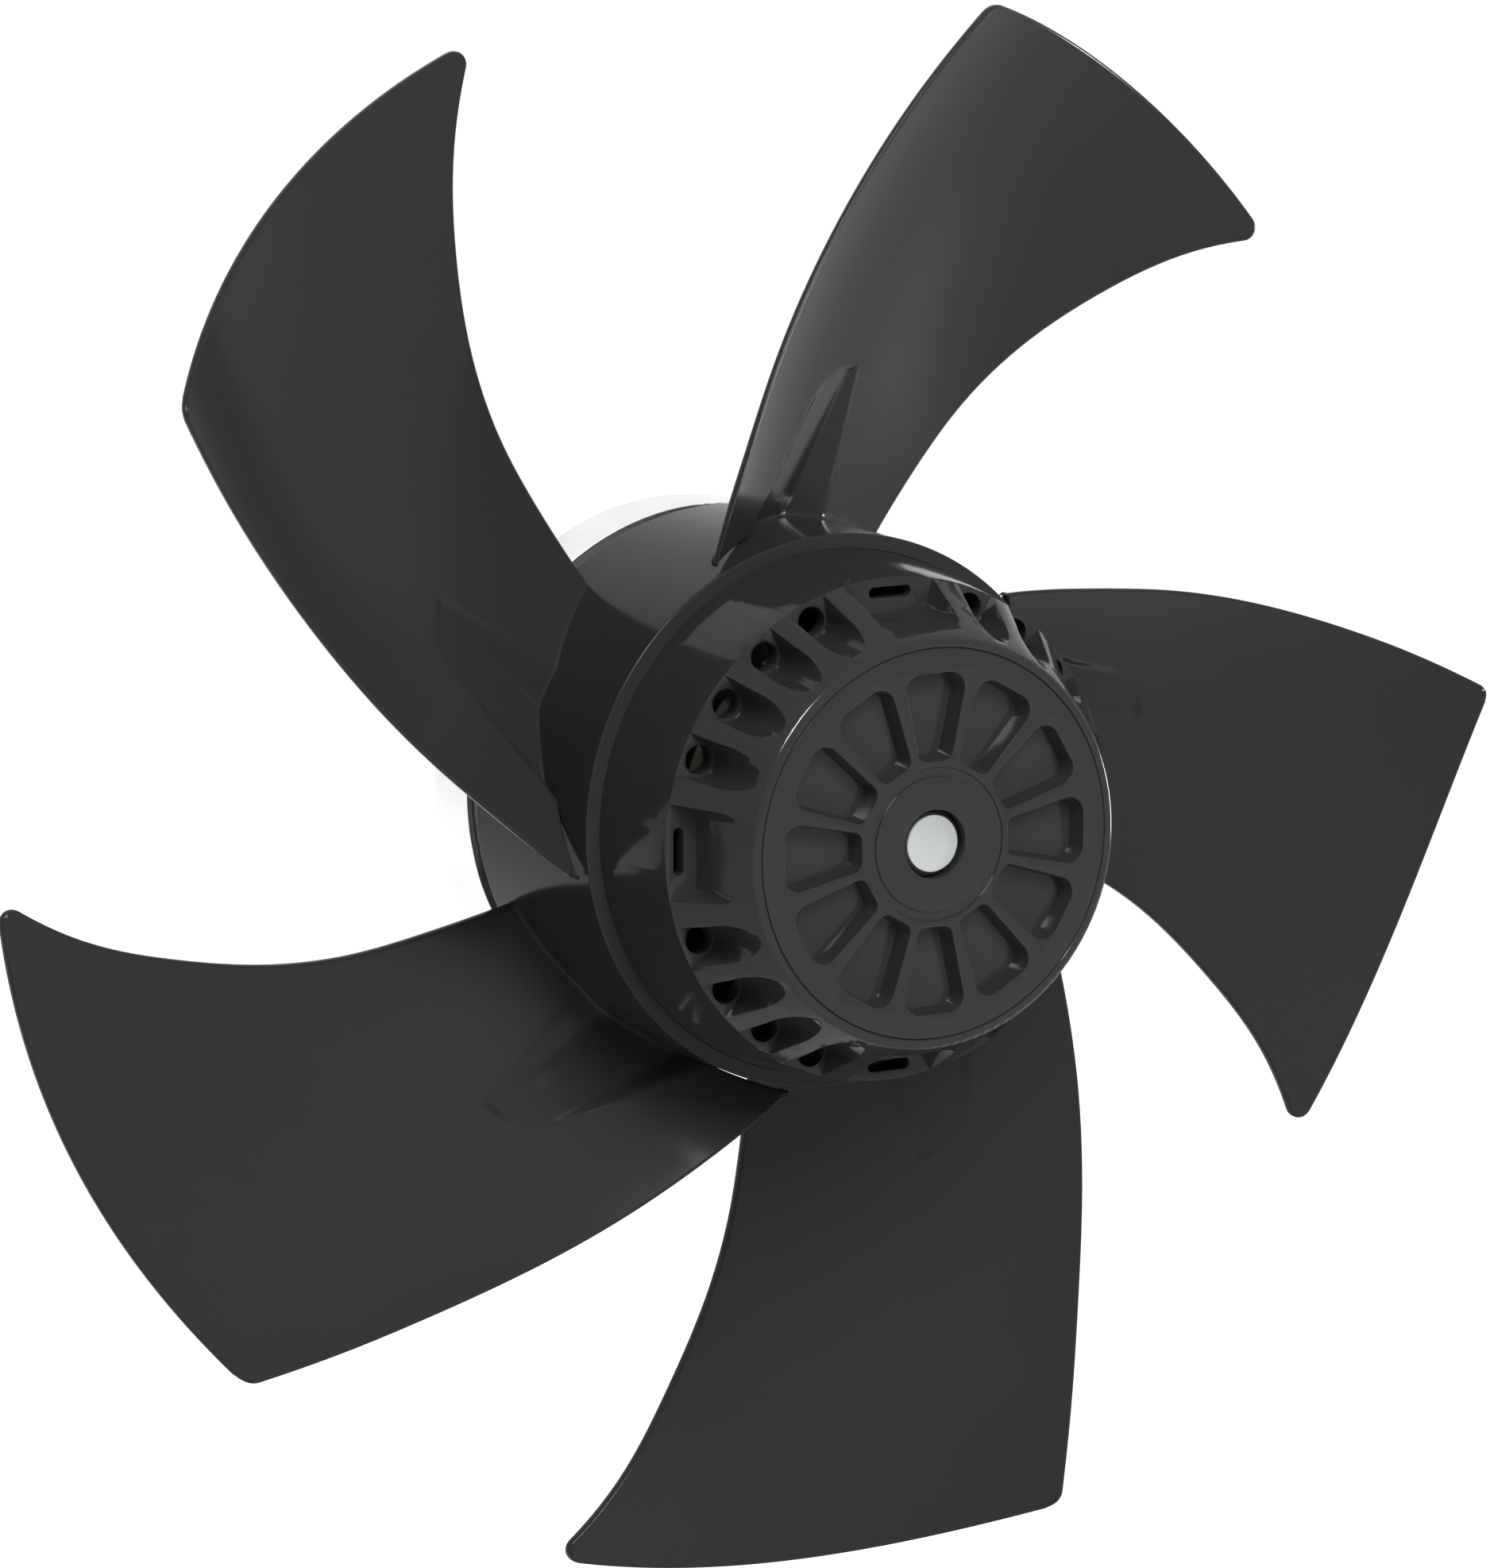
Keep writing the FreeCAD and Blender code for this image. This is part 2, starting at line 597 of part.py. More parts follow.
def circlip(bore, groove_depth, low):
    """An open ring outside a shaft: it sits in the shaft's groove."""
    inner = bore - groove_depth
    ring = pipe(inner, bore + groove_depth, low, low + CIRCLIP_THICKNESS)
    reach = 2 * bore
    side = reach * math.tan(math.radians(CIRCLIP_GAP_ANGLE / 2))
    gap = plate([(0, 0), (side, reach), (-side, reach)], low - OVERLAP, low + CIRCLIP_THICKNESS + OVERLAP)
    return ring.cut(gap)


def shaft():
    clip_top = REAR_BEARING_HEIGHT
    clip_low = clip_top - CIRCLIP_THICKNESS
    rear_end = clip_low - SHAFT_TAIL
    return turning([
        (0, rear_end),
        (SHAFT_RADIUS - SHAFT_CHAMFER / 2, rear_end),
        (SHAFT_RADIUS, rear_end + SHAFT_CHAMFER / 2),
        (SHAFT_RADIUS, clip_low),
        (SHAFT_RADIUS - CIRCLIP_DEPTH, clip_low),
        (SHAFT_RADIUS - CIRCLIP_DEPTH, clip_top),
        (SHAFT_RADIUS, clip_top),
        (SHAFT_RADIUS, FRONT_BEARING_TOP),
        (SHAFT_FRONT_RADIUS, FRONT_BEARING_TOP),
        (SHAFT_FRONT_RADIUS, DISH_FLOOR - SHAFT_CHAMFER),
        (SHAFT_FRONT_RADIUS - SHAFT_CHAMFER, DISH_FLOOR),
        (0, DISH_FLOOR),
    ])


def shaft_circlip():
    return circlip(SHAFT_RADIUS, CIRCLIP_DEPTH, REAR_BEARING_HEIGHT - CIRCLIP_THICKNESS)


def shaft_seal():
    low = TUBE_TOP + SEAL_GAP
    return turning([
        (SHAFT_FRONT_RADIUS, low),
        (TUBE_RADIUS - SEAL_SET_IN, low),
        (TUBE_RADIUS - SEAL_SET_IN, low + SEAL_THICKNESS / 2),
        (SHAFT_FRONT_RADIUS + SEAL_LIP, low + SEAL_THICKNESS),
        (SHAFT_FRONT_RADIUS, low + SEAL_THICKNESS),
    ])


# Ball bearings

def bearing_pieces(low):
    """Outer ring, inner ring, balls, cage and the two shields of one bearing."""
    high = low + BEARING_WIDTH
    middle = (low + high) / 2
    groove = Part.makeTorus(BEARING_PITCH, BALL_RADIUS + BALL_CLEARANCE, V(0, 0, middle), AXIS)
    outer = pipe(BEARING_RADIUS - RING_WALL, BEARING_RADIUS, low, high).cut(groove)
    inner = pipe(SHAFT_RADIUS, SHAFT_RADIUS + RING_WALL, low, high).cut(groove)
    ball = Part.makeSphere(BALL_RADIUS, V(0, BEARING_PITCH, middle))
    room = Part.makeSphere(BALL_RADIUS + BALL_CLEARANCE, V(0, BEARING_PITCH, middle))
    cage = pipe(BEARING_PITCH - CAGE_WALL / 2, BEARING_PITCH + CAGE_WALL / 2,
                middle - CAGE_HALF_HEIGHT, middle + CAGE_HALF_HEIGHT)
    cage = cage.cut(ring_of(room, BALL_COUNT))
    shield_inner = SHAFT_RADIUS + RING_WALL + SHIELD_GAP
    shields = [
        pipe(shield_inner, BEARING_RADIUS - RING_WALL, low, low + SHIELD_THICKNESS),
        pipe(shield_inner, BEARING_RADIUS - RING_WALL, high - SHIELD_THICKNESS, high),
    ]
    return {
        "outer_ring": outer,
        "inner_ring": inner,
        "balls": Part.makeCompound(ring_of(ball, BALL_COUNT)),
        "cage": cage,
        "shields": Part.makeCompound(shields),
    }


# Stator

def slot_corners(inset):
    """One winding slot between two straight teeth, open to the air gap."""
    def half_width(radius):
        return radius * math.tan(math.pi / SLOT_COUNT) - TOOTH_WIDTH / 2 - inset
    foot = SLOT_FOOT_RADIUS + inset
    top = SLOT_TOP_RADIUS - inset
    return half_width(foot), foot, half_width(top), top


def stator_sheet(low, high):
    """The stator's toothed section, for the core and for its end insulators."""
    near, foot, far, top = slot_corners(0.0)
    mouth = SLOT_MOUTH / 2
    beyond = STATOR_RADIUS + OVERLAP
    slot = plate([(-near, foot), (near, foot), (far, top), (mouth, top), (mouth, beyond),
                  (-mouth, beyond), (-mouth, top), (-far, top)], low - OVERLAP, high + OVERLAP)
    ring = pipe(TUBE_RADIUS, STATOR_RADIUS, low, high)
    return ring.cut(ring_of(slot, SLOT_COUNT))


def insulator(low, outward):
    """End plate over the core's teeth, with a collar that holds the coil ends."""
    sheet = stator_sheet(low, low + INSULATOR_THICKNESS)
    start = low if outward < 0 else low + INSULATOR_THICKNESS
    collar = pipe(TUBE_RADIUS, TUBE_RADIUS + COLLAR_WALL,
                  *sorted((start, start + outward * (INSULATOR_COLLAR + INSULATOR_THICKNESS))))
    return one_solid(sheet.fuse(collar))


def stator_windings():
    near, foot, far, top = slot_corners(SLOT_CLEARANCE)
    bar_top = top - WEDGE_THICKNESS - SLOT_CLEARANCE
    bar_far = far - (far - near) * (top - bar_top) / (top - foot)
    lowest = CORE_BASE - INSULATOR_THICKNESS
    highest = CORE_TOP + INSULATOR_THICKNESS
    bar = plate([(-near, foot), (near, foot), (bar_far, bar_top), (-bar_far, bar_top)], lowest, highest)
    bend = min(COIL_ROUND, 0.45 * (COIL_RADIUS_OUT - COIL_RADIUS_IN))
    ends = []
    for low in (lowest - COIL_HEIGHT, highest):
        high = low + COIL_HEIGHT
        ends.append(turning([
            (COIL_RADIUS_IN, low, bend),
            (COIL_RADIUS_OUT, low, bend),
            (COIL_RADIUS_OUT, high, bend),
            (COIL_RADIUS_IN, high, bend),
        ]))
    return one_solid(ends[0].multiFuse([ends[1]] + ring_of(bar, SLOT_COUNT)))


def slot_wedges():
    near, foot, far, top = slot_corners(SLOT_CLEARANCE)
    low_half = far - (far - near) * WEDGE_THICKNESS / (top - foot)
    low = top - WEDGE_THICKNESS
    wedge = plate([(-low_half, low), (low_half, low), (far, top), (-far, top)],
                  CORE_BASE - INSULATOR_THICKNESS, CORE_TOP + INSULATOR_THICKNESS)
    return Part.makeCompound(ring_of(wedge, SLOT_COUNT))


def thermal_cutout():
    low = CORE_TOP + INSULATOR_THICKNESS + COIL_HEIGHT
    middle = (COIL_RADIUS_IN + COIL_RADIUS_OUT) / 2
    half = CUTOUT_WIDTH / 2
    reach = CUTOUT_LENGTH / 2
    corners = [(-reach, middle - half, half / 2), (reach, middle - half, half / 2),
               (reach, middle + half, half / 2), (-reach, middle + half, half / 2)]
    return plate(corners, low, low + CUTOUT_HEIGHT)


def wave_spring():
    """Preload spring between the tube's shoulder and the rear bearing's outer ring."""
    return pipe(SHOULDER_RADIUS + WAVE_CLEARANCE, BEARING_RADIUS - WAVE_CLEARANCE,
                REAR_BEARING_TOP, REAR_BEARING_TOP + WAVE_HEIGHT)


def tube_circlip():
    """Inside ring that keeps the front bearing in the tube."""
    ring = pipe(BEARING_RADIUS - CIRCLIP_DEPTH, BEARING_RADIUS + CIRCLIP_DEPTH,
                FRONT_BEARING_TOP, FRONT_BEARING_TOP + CIRCLIP_THICKNESS)
    reach = 2 * BEARING_RADIUS
    side = reach * math.tan(math.radians(CIRCLIP_GAP_ANGLE / 2))
    gap = plate([(0, 0), (side, reach), (-side, reach)], FRONT_BEARING_TOP - OVERLAP, TUBE_TOP)
    return ring.cut(gap)


# Stator flange, cast in one piece with the bearing tube

def flange_rib(angle):
    outer = FLANGE_RADIUS - RIM_WALL / 2
    half = RIB_WIDTH / 2
    inner = CENTRE_BOSS_RADIUS - OVERLAP
    corners = [(-half, inner), (half, inner), (half, outer), (-half, outer)]
    rib = plate(corners, RIB_SET_BACK, WEB_FACE - OVERLAP)
    return turned(rib, angle)


def bolt_bosses():
    boss = rod(BOLT_BOSS_RADIUS, 0, WEB_FACE - OVERLAP, V(0, BOLT_CIRCLE_RADIUS, 0))
    return ring_of(boss, BOLT_COUNT, BOLT_FIRST_ANGLE)


def duct_corners():
    half = DUCT_WIDTH / 2
    outer = FLANGE_RADIUS + GLAND_PAD
    inner = FLANGE_RADIUS - DUCT_LENGTH
    return [(-half, inner), (half, inner), (half, outer), (-half, outer)]


def outward(shape):
    """Turn a piece drawn along the axis so that it points out of the gland's pad."""
    copy = shape.copy()
    copy.rotate(ORIGIN, V(1, 0, 0), -90)
    copy.translate(V(0, FLANGE_RADIUS + GLAND_PAD, GLAND_HEIGHT))
    return turned(copy, GLAND_ANGLE)


def stator_flange():
    rim_bore = FLANGE_RADIUS - RIM_WALL
    web_back = WEB_FACE - WEB_THICKNESS
    body = turning([
        (BEARING_RADIUS, CENTRE_BOSS_SET_BACK),
        (CENTRE_BOSS_RADIUS, CENTRE_BOSS_SET_BACK),
        (CENTRE_BOSS_RADIUS, web_back),
        (rim_bore, web_back, WEB_ROUND),
        (rim_bore, 0),
        (FLANGE_RADIUS, 0, FLANGE_ROUND),
        (FLANGE_RADIUS, FLANGE_HEIGHT, FLANGE_EDGE_ROUND),
        (SPIGOT_RADIUS + SPIGOT_WALL, FLANGE_HEIGHT),
        (SPIGOT_RADIUS, FLANGE_HEIGHT),
        (SPIGOT_RADIUS, FLANGE_HEIGHT + SPIGOT_HEIGHT),
        (SPIGOT_RADIUS - SPIGOT_WALL, FLANGE_HEIGHT + SPIGOT_HEIGHT),
        (SPIGOT_RADIUS - SPIGOT_WALL, WEB_FACE),
        (TUBE_RADIUS, WEB_FACE, WEB_ROUND),
        (TUBE_RADIUS, TUBE_TOP),
        (BEARING_RADIUS, TUBE_TOP),
        (BEARING_RADIUS, FRONT_BEARING_TOP + CIRCLIP_THICKNESS),
        (BEARING_RADIUS + CIRCLIP_DEPTH, FRONT_BEARING_TOP + CIRCLIP_THICKNESS),
        (BEARING_RADIUS + CIRCLIP_DEPTH, FRONT_BEARING_TOP),
        (BEARING_RADIUS, FRONT_BEARING_TOP),
        (BEARING_RADIUS, FRONT_BEARING_HEIGHT),
        (SHOULDER_RADIUS, FRONT_BEARING_HEIGHT),
        (SHOULDER_RADIUS, REAR_BEARING_TOP + WAVE_HEIGHT),
        (BEARING_RADIUS, REAR_BEARING_TOP + WAVE_HEIGHT),
    ])
    earth_place = polar(EARTH_SCREW_CIRCLE, EARTH_SCREW_ANGLE)
    duct = turned(plate(duct_corners(), DUCT_SET_BACK, FLANGE_HEIGHT - DUCT_SET_BACK), GLAND_ANGLE)
    earth_boss = rod(EARTH_BOSS_RADIUS, RIB_SET_BACK, WEB_FACE - OVERLAP, earth_place)
    angles = [360.0 * i / RIB_COUNT for i in range(RIB_COUNT)]
    ribs = [flange_rib(angle) for angle in angles if angle != GLAND_ANGLE]
    body = body.multiFuse(ribs + bolt_bosses() + [duct, earth_boss])
    bolt_hole = rod(BOLT_HOLE_RADIUS, -OVERLAP, BOLT_HOLE_DEPTH, V(0, BOLT_CIRCLE_RADIUS, 0))
    screw_end = CENTRE_BOSS_SET_BACK + SCREW_LENGTH + SCREW_HOLE_SPARE
    screw_hole = rod(SCREW_RADIUS, 0, screw_end, V(0, COVER_SCREW_CIRCLE, 0))
    earth_hole = rod(SCREW_RADIUS, 0, RIB_SET_BACK + SCREW_LENGTH, earth_place)
    cover_seat = rod(COVER_RADIUS, 0, COVER_SET_BACK + COVER_THICKNESS)
    lead_place = polar(DUCT_HOLE_CIRCLE, GLAND_ANGLE)
    lead_way = rod(DUCT_HOLE_RADIUS, GLAND_HEIGHT, FLANGE_HEIGHT + OVERLAP, lead_place)
    into_duct = FLANGE_RADIUS + GLAND_PAD - DUCT_HOLE_CIRCLE
    gland_hole = outward(rod(GLAND_THREAD_RADIUS, -into_duct, OVERLAP))
    cuts = ring_of(bolt_hole, BOLT_COUNT, BOLT_FIRST_ANGLE) + ring_of(screw_hole, COVER_SCREW_COUNT)
    return one_solid(body.cut(cuts + [earth_hole, cover_seat, lead_way, gland_hole]))


def stator_core():
    return stator_sheet(CORE_BASE, CORE_TOP)


def rear_cover():
    """Round plate screwed over the rear bearing, with a spigot that locates it."""
    low = COVER_SET_BACK
    plate_top = low + COVER_THICKNESS
    cover = turning([
        (0, low),
        (COVER_RADIUS - COVER_FIT, low, COVER_EDGE_ROUND),
        (COVER_RADIUS - COVER_FIT, plate_top),
        (BEARING_RADIUS - COVER_FIT, plate_top),
        (BEARING_RADIUS - COVER_FIT, REAR_BEARING_HEIGHT),
        (BEARING_RADIUS - RING_WALL, REAR_BEARING_HEIGHT),
        (BEARING_RADIUS - RING_WALL, plate_top),
        (0, plate_top),
    ])
    hole = rod(SCREW_RADIUS + COVER_HOLE_CLEARANCE, 0, plate_top + OVERLAP, V(0, COVER_SCREW_CIRCLE, 0))
    return cover.cut(ring_of(hole, COVER_SCREW_COUNT))


def pan_screw(seat):
    """A pan-head screw put in from the rear, with its head under the seat height."""
    screw = turning([
        (0, seat - SCREW_HEAD_HEIGHT),
        (SCREW_HEAD_RADIUS, seat - SCREW_HEAD_HEIGHT, SCREW_HEAD_ROUND),
        (SCREW_HEAD_RADIUS, seat),
        (SCREW_RADIUS, seat),
        (SCREW_RADIUS, seat + SCREW_LENGTH),
        (0, seat + SCREW_LENGTH),
    ])
    drive = hexagon(2 * SCREW_DRIVE_RADIUS, seat - 2 * SCREW_HEAD_HEIGHT, seat - SCREW_HEAD_HEIGHT / 3)
    return screw.cut(drive)


def rear_cover_screws():
    screw = pan_screw(COVER_SET_BACK)
    screw.translate(V(0, COVER_SCREW_CIRCLE, 0))
    return Part.makeCompound(ring_of(screw, COVER_SCREW_COUNT))


def earth_screw():
    screw = pan_screw(RIB_SET_BACK)
    screw.translate(polar(EARTH_SCREW_CIRCLE, EARTH_SCREW_ANGLE))
    return screw


# Cable gland

def gland_body():
    high = GLAND_BODY_LENGTH
    thread = pipe(GLAND_BORE, GLAND_THREAD_RADIUS, -GLAND_PAD - RIM_WALL - GLAND_THREAD_SPARE, 0)
    collar = hexagon(GLAND_SPAN, 0, high).cut(rod(GLAND_BORE, -OVERLAP, high + OVERLAP))
    neck = pipe(SEAL_RADIUS, GLAND_THREAD_RADIUS - GLAND_WALL, high, high + GLAND_NUT_LENGTH / 2)
    return outward(one_solid(thread.multiFuse([collar, neck])))


def gland_nut():
    low = GLAND_BODY_LENGTH
    high = low + GLAND_NUT_LENGTH
    nut = hexagon(GLAND_NUT_SPAN, low, high)
    crown = GLAND_NUT_SPAN / 2 + GLAND_NUT_CROWN
    dome = turning([(0, low), (crown, low), (crown, high, GLAND_NUT_ROUND), (0, high)])
    nut = nut.common(dome)
    nut = nut.cut(rod(GLAND_THREAD_RADIUS - GLAND_WALL, low - OVERLAP, low + GLAND_NUT_LENGTH / 2))
    return outward(nut.cut(rod(SEAL_RADIUS - SEAL_STEP, low - OVERLAP, high + OVERLAP)))


def gland_seal():
    low = GLAND_BODY_LENGTH
    middle = low + GLAND_NUT_LENGTH / 2
    high = low + GLAND_NUT_LENGTH - SEAL_STEP
    return outward(turning([
        (CABLE_BORE, low),
        (SEAL_RADIUS, low),
        (SEAL_RADIUS, middle),
        (SEAL_RADIUS - SEAL_STEP, middle),
        (SEAL_RADIUS - SEAL_STEP, high),
        (CABLE_BORE, high),
    ]))


def save(name, shape):
    """Lay the upright piece over, so that its front faces -Y, and write it."""
    piece = shape.copy()
    piece.rotate(ORIGIN, V(1, 0, 0), 90)
    piece.exportStep("parts/" + name + ".step")


def build():
    os.makedirs("parts", exist_ok=True)
    save("impeller", impeller())
    save("rotor_housing", rotor_housing())
    save("rotor_core", rotor_core())
    save("shaft", shaft())
    save("shaft_circlip", shaft_circlip())
    save("shaft_seal", shaft_seal())
    save("stator_flange", stator_flange())
    save("stator_core", stator_core())
    save("front_insulator", insulator(CORE_TOP, 1))
    save("rear_insulator", insulator(CORE_BASE - INSULATOR_THICKNESS, -1))
    save("stator_windings", stator_windings())
    save("slot_wedges", slot_wedges())
    save("thermal_cutout", thermal_cutout())
    save("wave_spring", wave_spring())
    save("tube_circlip", tube_circlip())
    save("rear_cover", rear_cover())
    save("rear_cover_screws", rear_cover_screws())
    save("earth_screw", earth_screw())
    save("gland_body", gland_body())
    save("gland_nut", gland_nut())
    save("gland_seal", gland_seal())
    for place, low in (("front", FRONT_BEARING_HEIGHT), ("rear", REAR_BEARING_HEIGHT)):
        for name, shape in bearing_pieces(low).items():
            save(place + "_bearing_" + name, shape)


build()
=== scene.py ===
import math

import bmesh
import bpy
import numpy as np
from mathutils import Matrix, Vector


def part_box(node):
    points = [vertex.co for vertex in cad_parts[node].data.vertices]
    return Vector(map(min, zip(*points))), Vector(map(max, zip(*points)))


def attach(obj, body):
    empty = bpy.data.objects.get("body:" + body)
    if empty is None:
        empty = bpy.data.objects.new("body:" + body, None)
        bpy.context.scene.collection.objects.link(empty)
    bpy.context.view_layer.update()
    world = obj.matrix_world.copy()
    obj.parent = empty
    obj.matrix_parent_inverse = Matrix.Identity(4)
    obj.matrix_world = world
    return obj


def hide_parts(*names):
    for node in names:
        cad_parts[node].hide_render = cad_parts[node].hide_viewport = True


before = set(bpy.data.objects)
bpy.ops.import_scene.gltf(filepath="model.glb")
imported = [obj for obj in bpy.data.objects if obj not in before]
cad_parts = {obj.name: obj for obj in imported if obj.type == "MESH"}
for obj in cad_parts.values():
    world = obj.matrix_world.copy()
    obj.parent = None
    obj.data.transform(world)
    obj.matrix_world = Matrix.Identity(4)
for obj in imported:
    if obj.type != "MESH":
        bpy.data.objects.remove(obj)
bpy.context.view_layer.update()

# Impeller
# One moulding of black glass-filled plastic: a hub ring that is pressed on the rotor and five
# swept blades, each with a stiffening pocket pressed into its root. It is drawn in millimetres
# and degrees, on an upright axis, and laid over when its mesh is made.
MM = 0.001
BLADE_COUNT = 5
HUB_BASE, HUB_FACE = 31.5, 103.0
HUB_BORE, HUB_RADIUS = 80.4, 84.9
HUB_STEPS = 240
TIP_RADIUS = 249.0
# The tip's edge, a little inside the last section
TIP_REACH = 248.95
BLADE_THICKNESS = 3.6
BLADE_EDGE = 1.0
TIP_ROUNDS = {"front": 7.0, "rear": 4.0}
# Even steps from hub to tip: angle and depth of the front edge, of the rear edge, and the hollow
BLADE_SECTIONS = np.array([
    (-28.0, 2.2, 33.0, 56.6, 3.2),
    (-14.4, 3.4, 34.6, 59.6, 4.8),
    (-5.8, 6.8, 36.4, 61.3, 6.3),
    (0.8, 10.3, 39.3, 62.1, 7.8),
    (6.2, 12.8, 42.8, 62.0, 9.3),
    (10.7, 13.3, 46.4, 60.8, 10.8),
    (14.7, 12.3, 51.0, 60.9, 12.4),
])
SECTION_STEP = (TIP_RADIUS - HUB_RADIUS) / (len(BLADE_SECTIONS) - 1)
CAMBER_SKEW = 0.48
SLIT_START, SLIT_END, SLIT_WIDTH = -14.0, -26.5, 2.1
# The pocket's flat walls, each through three corners: reach from the hub, angle and depth
POCKET_WALLS = {
    "floor": [(0.0, -10.0, 28.0), (0.0, 4.5, 42.2), (47.1, 9.0, 33.0)],
    "front": [(0.0, -14.0, 13.5), (0.0, -10.0, 28.0), (47.1, 7.0, 30.3)],
    "rear": [(0.0, 4.5, 42.2), (0.0, 13.5, 41.5), (43.1, 12.9, 38.5)],
}
POCKET_REACH = 47.1
POCKET_END_SLOPE = 2.0
POCKET_CREASE = 0.25
# The fillet between blade and hub, and the angle past the slit over which it grows to its size
ROOT_FILLET, FILLET_RUN = 0.8, 5.0
# How far the joined part of the root is sunk into the hub, and the angle over which it sinks
ROOT_SINK, SINK_RUN = 1.5, 2.0
BLACK = (0.042, 0.042, 0.040)


def blade_rows():
    """The sections with one more at each end, which keeps the skin straight there."""
    rows = BLADE_SECTIONS
    before = 3 * rows[0] - 3 * rows[1] + rows[2]
    after = 3 * rows[-1] - 3 * rows[-2] + rows[-3]
    return np.vstack([before, rows, after])


def section_points(along):
    """Points of every section at shares of its width: one row of points for each section."""
    along = np.atleast_1d(along)
    front_angle, front_depth, rear_angle, rear_depth, camber = blade_rows().T[:, :, None]
    painted_shade_between_strands = 4 * camber * along * (1 - along) * (1 + CAMBER_SKEW * (0.5 - along))
    turn = np.radians(front_angle + along * (rear_angle - front_angle))
    radius = HUB_RADIUS + SECTION_STEP * (np.arange(len(turn))[:, None] - 1)
    height = HUB_FACE - (front_depth + along * (rear_depth - front_depth) + painted_shade_between_strands)
    return np.stack([radius * np.sin(turn), radius * np.cos(turn), height], axis=-1)


def skin_points(along, row):
    """Points of the blade's front skin, on smooth curves through the sections."""
    points = section_points(along)
    count = len(points)
    # Second derivatives of the cubic splines, three neighbours at a time
    bend = np.eye(count)
    bend[0, :3] = bend[-1, -3:] = (1, -2, 1)
    pull = np.zeros_like(points)
    for i in range(1, count - 1):
        bend[i, i - 1:i + 2] = (1, 4, 1)
        pull[i] = 6 * (points[i + 1] - 2 * points[i] + points[i - 1])
    second = np.linalg.solve(bend, pull.reshape(count, -1)).reshape(points.shape)
    low = np.clip(row.astype(int), 0, count - 2)
    after = (row - low)[:, None]
    before = 1 - after
    each = np.arange(len(low)) if points.shape[1] > 1 else 0
    straight = before * points[low, each] + after * points[low + 1, each]
    curved = (before ** 3 - before) * second[low, each]
    curved += (after ** 3 - after) * second[low + 1, each]
    return straight + curved / 6


def skin_height(x, y):
    """Height of the front skin over plan places, found by closing in on them along the skin."""
    shape = x.shape
    x, y = x.ravel(), y.ravel()
    radius, angle = np.hypot(x, y), np.arctan2(x, y)
    row = 1 + (radius - HUB_RADIUS) / SECTION_STEP
    along = np.full_like(row, 0.5)
    usual_span = math.radians(40)
    rounds = 12
    for _ in range(rounds):
        found = skin_points(along, row)
        along += (angle - np.arctan2(found[:, 0], found[:, 1])) / usual_span
        row += (radius - np.hypot(found[:, 0], found[:, 1])) / SECTION_STEP
    return skin_points(along, row)[:, 2].reshape(shape)


def smooth_low(a, b, round_off):
    """The lower of two heights, with the crease between them rounded off."""
    return (a + b - np.sqrt((a - b) ** 2 + round_off ** 2)) / 2


def smooth_high(a, b, round_off):
    """The higher of two heights, with the crease between them rounded off."""
    return (a + b + np.sqrt((a - b) ** 2 + round_off ** 2)) / 2


def polar(radius, angle):
    """Plan places at a radius and an angle from the blade's middle line."""
    turn = np.radians(angle)
    return np.stack([radius * np.sin(turn), radius * np.cos(turn)], axis=-1)


def wall_height(wall, x, y, drop):
    """Height of one flat pocket wall over plan places, lowered along its normal by drop."""
    corners = [np.append(polar(HUB_RADIUS + reach, angle), HUB_FACE - depth)
               for reach, angle, depth in POCKET_WALLS[wall]]
    normal = np.cross(corners[1] - corners[0], corners[2] - corners[0])
    normal *= math.copysign(1, normal[2]) / np.linalg.norm(normal)
    level = normal @ corners[0] - drop
    return (level - normal[0] * x - normal[1] * y) / normal[2]


def blade_heights(x, y):
    """Heights of the blade's front and back skins over plan places."""
    reach = np.hypot(x, y) - HUB_RADIUS
    angle = np.degrees(np.arctan2(x, y))
    joined = np.clip((angle - SLIT_START) / FILLET_RUN, 0, 1)
    gap = np.clip(ROOT_FILLET - reach, 0, ROOT_FILLET)
    rise = ROOT_FILLET - np.sqrt(np.maximum(ROOT_FILLET ** 2 - gap ** 2, 0))
    skin = skin_height(x, y)
    skins = []
    for drop, side in ((0.0, 1), (BLADE_THICKNESS, -1)):
        floor, front, rear = (wall_height(wall, x, y, drop) for wall in POCKET_WALLS)
        pocket = smooth_high(smooth_high(floor, front, POCKET_CREASE), rear, POCKET_CREASE)
        pocket += POCKET_END_SLOPE * np.maximum(reach - POCKET_REACH - drop, 0)
        height = smooth_low(skin - drop, pocket, POCKET_CREASE)
        skins.append(height + side * joined * rise)
    return skins


def even_points(line, shares):
    """Places at given shares of a line's length."""
    length = np.concatenate([[0], np.cumsum(np.linalg.norm(np.diff(line, axis=0), axis=1))])
    length /= length[-1]
    return np.stack([np.interp(shares, length, line[:, i]) for i in range(2)], axis=-1)


def tip_corner(edge, size, inward):
    """The edge cut short at its rounded corner, and the corner's arc in two halves."""
    along = np.gradient(edge, axis=0)
    along /= np.linalg.norm(along, axis=1)[:, None]
    beside = np.stack([along[:, 1], -along[:, 0]], axis=-1) * inward
    centres = edge + size * beside
    last = np.argmin(np.abs(np.hypot(centres[:, 0], centres[:, 1]) - (TIP_REACH - size)))
    centre = centres[last]
    start = math.atan2(*(edge[last] - centre)[::-1])
    out = math.atan2(*centre[::-1])
    turn = (out - start + math.pi) % (2 * math.pi) - math.pi
    half = 12
    arc = start + turn * np.linspace(0, 1, 2 * half + 1)
    points = centre + size * np.stack([np.cos(arc), np.sin(arc)], axis=-1)
    return edge[:last], points[:half + 1], points[half:]


